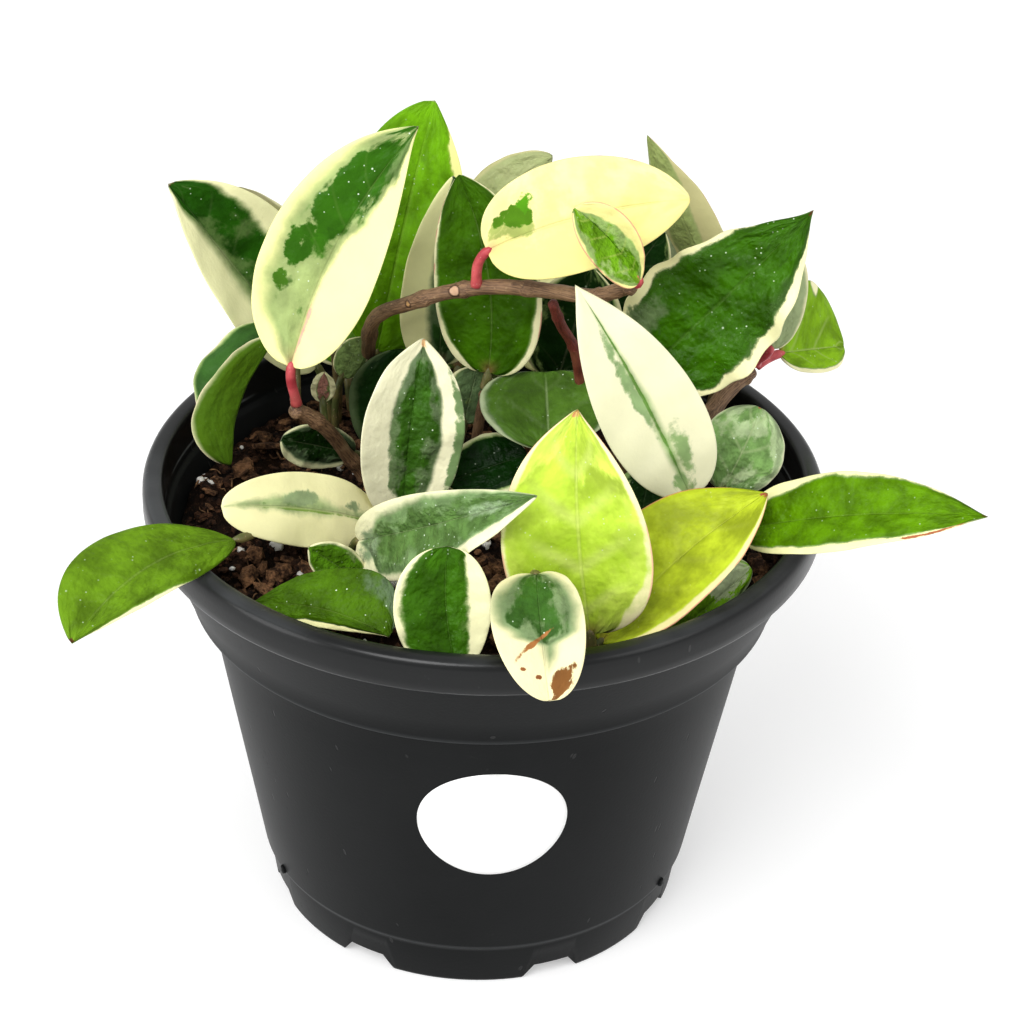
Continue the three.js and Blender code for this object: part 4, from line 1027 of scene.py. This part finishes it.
add_leaf(
    21, "leaf_sage", (-29, -20, 88),
    Blade((-28.5, -24, 108), (12, -61, 144.5), (-0.75, -0.6, 0.3), 21, full=0.45, point=0.8, left=0.75,
          right=1.1, fold=12, cup=10, arch=2, sway=1),
    green=(0.12, 0.22, 0.06), cream=(0.88, 0.86, 0.58), sage=(0.2, 0.31, 0.13), patches=0.4,
    fringe=(0.3, 0.12), jag=0.2, flush=0, veins=0, flecks=1.2, quilt=1,
    blobs=[(0.8, -0.1, 0.12, 0.3, (0.3, 0.4, 0.24), 0, 0.9),
           (0.1, 0.2, 0.07, 0.5, (0.25, 0.34, 0.2), 0, 0.9)],
    core=[(0, 0.3, 0), (0.1, 0, 0.25), (0.2, -0.5, 0.8), (0.5, -0.74, 0.85), (0.8, -0.8, 0.55),
          (1, -0.9, 0.6)])
add_leaf(
    22, "leaf_cream", (-21, -6, 88),
    Blade((-24, -8, 102.5), (-58.5, -32, 121), (0.6, -0.6, 0.55), 17.5, full=0.45, point=0.42,
          right=(1, 0.45, 0.52), fold=-6, cup=10, arch=3, sway=1, drip=0),
    green=(0.18, 0.3, 0.08), cream=(0.9, 0.86, 0.5), sage=(0.38, 0.47, 0.22), patches=0.5, fringe=0.3,
    jag=0.3, flush=0, rib=0.6, veins=0, flecks=0.1, quilt=0.2,
    blobs=[(0.35, -0.03, 0.36, 0.05, (0.24, 0.36, 0.08), 0, 0.5),
           (0.56, 0.28, 0.12, 0.2, (0.3, 0.38, 0.2), 0, 0.5),
           (0.22, 0.3, 0.07, 0.18, (0.3, 0.38, 0.2), 0, 0.5)],
    core=[(0, 0.1, 0.1), (0.3, 0.02, 0.1), (0.6, 0.02, 0.25), (0.9, 0.1, 0.05), (1, 0.1, -0.1)])
add_leaf(
    23, "leaf_cream", (-17, 0, 88),
    Blade((-19, -4, 102), (-15, 4, 146), (0.2, -0.95, 0.2), 26, point=0.5, fold=12, cup=18, arch=2,
          sway=-1, drip=0.7),
    green=(0.05, 0.14, 0.012), cream=(0.95, 0.92, 0.66), sage=(0.15, 0.22, 0.1), patches=0.32, flush=0,
    rib=0, veins=0, flecks=1.4, quilt=1.3, shine=0.08,
    blobs=[(0.45, -0.32, 0.34, 0.12, (0.17, 0.25, 0.11), 0, 0.5),
           (0.5, 0.93, 0.42, 0.12, (0.2, 0.3, 0.13), 0, 0.4), (1, 0, 0.04, 0.7, (0.8, 0.52, 0.26))],
    core=[(0, -0.1, 0.4), (0.3, -0.35, 0.52), (0.6, -0.42, 0.56), (0.85, -0.3, 0.4), (1, 0.1, 0.1)])
add_leaf(
    24, "leaf_deep", (-21, 30, 88),
    Blade((-32, 20, 105), (-48.5, 10, 114.5), (0.45, -0.9, -0.1), 12.5, point=0.4, fold=4, cup=8),
    green=(0.012, 0.045, 0.006), cream=(0.84, 0.84, 0.52), sage=(0.12, 0.18, 0.09), patches=0.4,
    fringe=0.2, core=[(0, -0.6, 0.85), (0.5, -0.68, 0.9), (1, -0.5, 0.8)])
add_leaf(
    25, "leaf_deep", (-19, 19, 88),
    Blade((-19.5, 21, 100.5), (-21, 23, 132.5), (0.05, -1, 0.1), 26, point=0.4, fold=4, cup=-8),
    green=DARK, cream=(0.12, 0.17, 0.08), sage=(0.05, 0.09, 0.03), patches=0.25, quilt=0.7)
add_leaf(
    26, "leaf_deep", (-11, 2, 88),
    Blade((-9, 2, 108.5), (10, 6, 114.5), (-0.1, -0.65, 0.75), 16, point=0.4, fold=4, cup=10),
    green=(0.003, 0.028, 0.0005), cream=(0.8, 0.8, 0.5), patches=0.02, rib=0.05, veins=0)
add_leaf(
    27, "leaf_deep", (15, -7, 88),
    Blade((15, -2, 120.5), (13.5, 16, 131.5), (0, -0.5, 0.85), 32, point=0.35, fold=10, cup=-6, drip=0),
    green=(0.08, 0.165, 0.02), cream=(0.42, 0.48, 0.3), sage=(0.12, 0.19, 0.07), patches=0.25, fringe=0.08,
    rib=0.8, veins=0.15, broad=0.12, flecks=1, quilt=1,
    core=[(0, -0.9, 0.9), (0.5, -0.9, 0.9), (1, -0.85, 0.85)])
add_leaf(
    28, "leaf_bright", (-47, 11, 88),
    Blade((-55, -36.5, 115), (-86.5, -73.5, 111), (0.25, -0.4, 0.9), 25, left=(0.6, 0.6, 0.8),
          right=(1, 1.05, 0.58), cup=-10, arch=4, sway=4, drip=0.5),
    green=(0.125, 0.235, 0.01), sage=(0.2, 0.34, 0.05), patches=0.06, fringe=0.05, jag=0.14, flush=0,
    rib=0.12, veins=0.03, quilt=0.8, blobs=[(1, 0, 0.02, 0.8, BROWN)],
    core=[(0, -1.1, 1.3), (0.5, -0.9, 1.3), (0.8, -0.85, 1.2), (1, -1, 1.2)])
add_leaf(
    29, "leaf_deep", (-47, -40, 88),
    Blade((-50.5, -48, 105.5), (-19, -62, 107.5), (-0.3, -0.5, 0.85), 18, left=(1.35, 1, 0.36),
          right=(0.55, 0.4, 0.9), fold=4, cup=-10, arch=2, sway=-2, drip=0.5),
    green=(0.075, 0.165, 0.004), cream=(0.88, 0.86, 0.46), sage=(0.13, 0.2, 0.1), patches=0.1, fringe=0.05,
    jag=0.2, flush=0, rib=0.1, veins=0.02, flecks=1.2, quilt=1.2,
    blobs=[(0.9, -0.85, 0.2, 0.3, (0.15, 0.22, 0.12), 0, 0.9)],
    core=[(0, -1.2, 0.7), (0.5, -1.2, 0.7), (1, -1.2, 0.8)])
add_leaf(
    30, "leaf_deep", (-4, -64, 88),
    Blade((-4, -68, 103), (-7, -57, 128.5), (0.15, -0.7, 0.7), 22, left=(1.15, 0.45, 0.4),
          right=(0.9, 0.45, 0.38), fold=14, cup=6, arch=-2, sway=-1, drip=0),
    green=(0.05, 0.15, 0.005), cream=(0.91, 0.89, 0.56), patches=0.06, fringe=0.08, jag=0.26, flush=0.1,
    rib=0.05, veins=0.02, flecks=0.9, quilt=0.8,
    core=[(0, -0.7, 0.5), (0.3, -0.85, 0.45), (0.7, -0.84, 0.5), (0.9, -0.9, 0.6), (1, -0.95, 0.9)])
add_leaf(
    31, "leaf_cream", (7, -63, 88),
    Blade((12.5, -64, 126.5), (16, -88, 110.5), (-0.1, -0.45, 0.9), 22, left=(0.9, 0.5, 0.45),
          right=(1, 0.5, 0.62), fold=8, cup=20, arch=6, drip=0),
    green=(0.05, 0.13, 0.02), cream=(0.84, 0.78, 0.48), sage=(0.2, 0.28, 0.13), patches=0.4, fringe=0.4,
    jag=0.2, flush=0, rib=0.05, veins=0, flecks=1, quilt=0.8,
    blobs=[(0.64, 0.3, 0.022, 0.5, (0.36, 0.16, 0.05), 0.2, 0.3),
           (0.9, -0.5, 0.1, 0.4, (0.22, 0.1, 0.03), 0.1), (0.84, 0.25, 0.02, 0.1, (0.3, 0.12, 0.04)),
           (0.78, 0.6, 0.015, 0.1, (0.3, 0.12, 0.04))],
    core=[(0, -0.2, 0.2), (0.08, -0.45, 0.5), (0.3, -0.66, 0.74), (0.46, -0.7, 0.74), (0.56, -0.6, 0.45),
          (0.66, -0.1, -0.2), (1, 0.5, -0.5)])

# Small and half-hidden leaves among the stems.
# They fill the middle of the bush and stay in its shade.
add_leaf(
    32, "leaf_deep", (-24, -33, 88),
    Blade((-27, -33, 103), (-38.5, -37, 114), (0.5, -0.85, 0.2), 10, fold=4, cup=4),
    green=FRESH)
add_leaf(
    33, "leaf_sage", (-35, 27, 88),
    Blade((-35.5, 27, 122), (-30.5, 28, 132.5), (-0.1, -0.95, 0.25), 8),
    green=SAGE)
add_leaf(
    34, "leaf_cream", (-38, 5, 120),
    Blade((-39, 14, 122.5), (-38.5, 12, 131.5), (0.1, -1, -0.15), 6),
    rise=(0, 0.9, 0.5), green=(0.5, 0.25, 0.2), core=[(0, -0.5, 0.5), (1, -0.4, 0.4)])
add_leaf(
    35, "leaf_deep", (14, 34, 88),
    Blade((16.5, 34, 118), (24, 36, 149), (-0.1, -1, 0.1), 24),
    green=DARK)
add_leaf(
    36, "leaf_sage", (-9, 18, 88),
    Blade((-5.5, 18, 115.5), (-2.5, 19.5, 130.5), (0, -0.95, 0.3), 14),
    green=GREY)
add_leaf(
    37, "leaf_deep", (36, -19, 88),
    Blade((36.5, -18, 112.5), (38, -12, 123.5), (0, -0.85, 0.5), 14),
    green=DARK, cream=SAGE)
add_leaf(
    38, "leaf_deep", (25, 44, 88),
    Blade((24.5, 44, 128), (41, 44, 155.5), (-0.25, -0.95, 0.15), 18),
    green=DARK)

# Leaves at the back, like those at the front.
# Four lean out over the lip and two stand up behind the bush.
BACK_CORE = [(0, -0.5, 0.5), (0.3, -0.7, 0.75), (0.7, -0.75, 0.65), (1, -0.6, 0.6)]
add_leaf(
    39, "leaf_bright", (-34, 46, 88),
    Blade((-36, 50, 112), (-54, 92, 116), (0, 0.2, 1), 26, point=0.7, arch=6),
    green=FRESH, patches=0.1)
add_leaf(
    40, "leaf_deep", (-8, 46, 88),
    Blade((-8, 50, 112), (-14, 98, 114), (0, 0.2, 1), 28, point=0.7, arch=6),
    green=DEEP, core=BACK_CORE)
add_leaf(
    41, "leaf_cream", (11, 46, 88),
    Blade((12, 50, 112), (24, 90, 124), (0, -0.2, 1), 24, point=0.7, arch=5),
    green=DEEP, cream=CREAM, patches=0.5,
    core=[(0, -0.1, 0.4), (0.4, -0.3, 0.6), (0.8, -0.2, 0.4), (1, -0.1, 0.2)])
add_leaf(
    42, "leaf_bright", (40, 38, 88),
    Blade((42, 42, 112), (57, 82, 118), (0, 0.2, 1), 22, point=0.7, arch=6),
    green=FRESH, patches=0.15, core=BACK_CORE)
add_leaf(
    43, "leaf_cream", (-18, 54, 88),
    Blade((-20, 54, 118), (-34, 68, 162), (0, 1, 0.3), 22, point=0.7, arch=4),
    green=DEEP, cream=CREAM, patches=0.5,
    core=[(0, -0.4, 0.2), (0.4, -0.6, 0.3), (0.8, -0.5, 0.4), (1, -0.6, 0.6)])
add_leaf(
    44, "leaf_deep", (32, 50, 88),
    Blade((34, 50, 122), (46, 60, 160), (0, 1, 0.3), 20, point=0.7, arch=4),
    green=DEEP, patches=0.2, core=BACK_CORE)

# Studio
# A flat floor of pale paper, a broad soft light above, two weak fills and a white room around.
# The camera looks down on the front at 32 degrees, rolled by about 2 degrees.
FLOOR_GLOW = 0.45
ROOM_LIGHT = 0.8


def make_floor(shape):
    bmesh.ops.create_grid(shape, x_segments=1, y_segments=1, size=6)


def floor_finish():
    material, start, shader = finish("floor_paper", Roughness=0.95, Specular_IOR_Level=0.1,
                                     Emission_Strength=FLOOR_GLOW)
    place = object_place(start)
    faint = start.noise(place, 3, 2.0)
    paint(start, shader, Base_Color=faint.mix((0.60, 0.60, 0.60), (0.62, 0.62, 0.62)),
          Emission_Color=faint.mix((0.98, 0.98, 0.98), (1, 1, 1)))
    return material


floor = new_object("studio_floor", make_floor, [floor_finish()])


def area_light(name, place, aim, size, power):
    lamp = bpy.data.lights.new(name, "AREA")
    lamp.shape = "DISK"
    lamp.size = size
    lamp.energy = power
    holder = bpy.data.objects.new(name, lamp)
    holder.location = place
    holder.rotation_euler = (Vector(aim) - Vector(place)).to_track_quat("-Z", "Y").to_euler()
    bpy.context.collection.objects.link(holder)


area_light("key", (-0.45, -1.05, 1.3), (0, 0, 0.12), 0.9, 16)
area_light("left fill", (-1.3, -0.6, 0.45), (0, 0, 0.1), 0.8, 6)
area_light("right fill", (1.1, -0.7, 0.8), (0, 0, 0.1), 0.8, 3)
room = bpy.data.worlds.new("white room")
room.use_nodes = True
room.node_tree.nodes["Background"].inputs[0].default_value = (1, 1, 1, 1)
room.node_tree.nodes["Background"].inputs[1].default_value = ROOM_LIGHT
bpy.context.scene.world = room
bpy.context.scene.view_settings.view_transform = "Standard"
bpy.context.scene.view_settings.gamma = 0.88

CAMERA_TILT = math.radians(32)
CAMERA_ROLL = math.radians(1.94)
CAMERA_AIM = Vector((6.78, 0, 102.1)) * MM
CAMERA_FAR = 0.7
CAMERA_LENS = 103.85
view = bpy.data.cameras.new("photo view")
view.lens = CAMERA_LENS
view.sensor_width = 36
back = Vector((0, -math.cos(CAMERA_TILT), math.sin(CAMERA_TILT)))
level = Vector((1, 0, 0))
raised = level.cross(-back)
right = level * math.cos(CAMERA_ROLL) + raised * math.sin(CAMERA_ROLL)
above = raised * math.cos(CAMERA_ROLL) - level * math.sin(CAMERA_ROLL)
camera = bpy.data.objects.new("photo view", view)
camera.matrix_world = (Matrix.Translation(CAMERA_AIM + back * CAMERA_FAR)
                       @ Matrix((right, above, back)).transposed().to_4x4())
view.clip_start = 0.05
view.clip_end = 20
bpy.context.collection.objects.link(camera)
bpy.context.scene.camera = camera
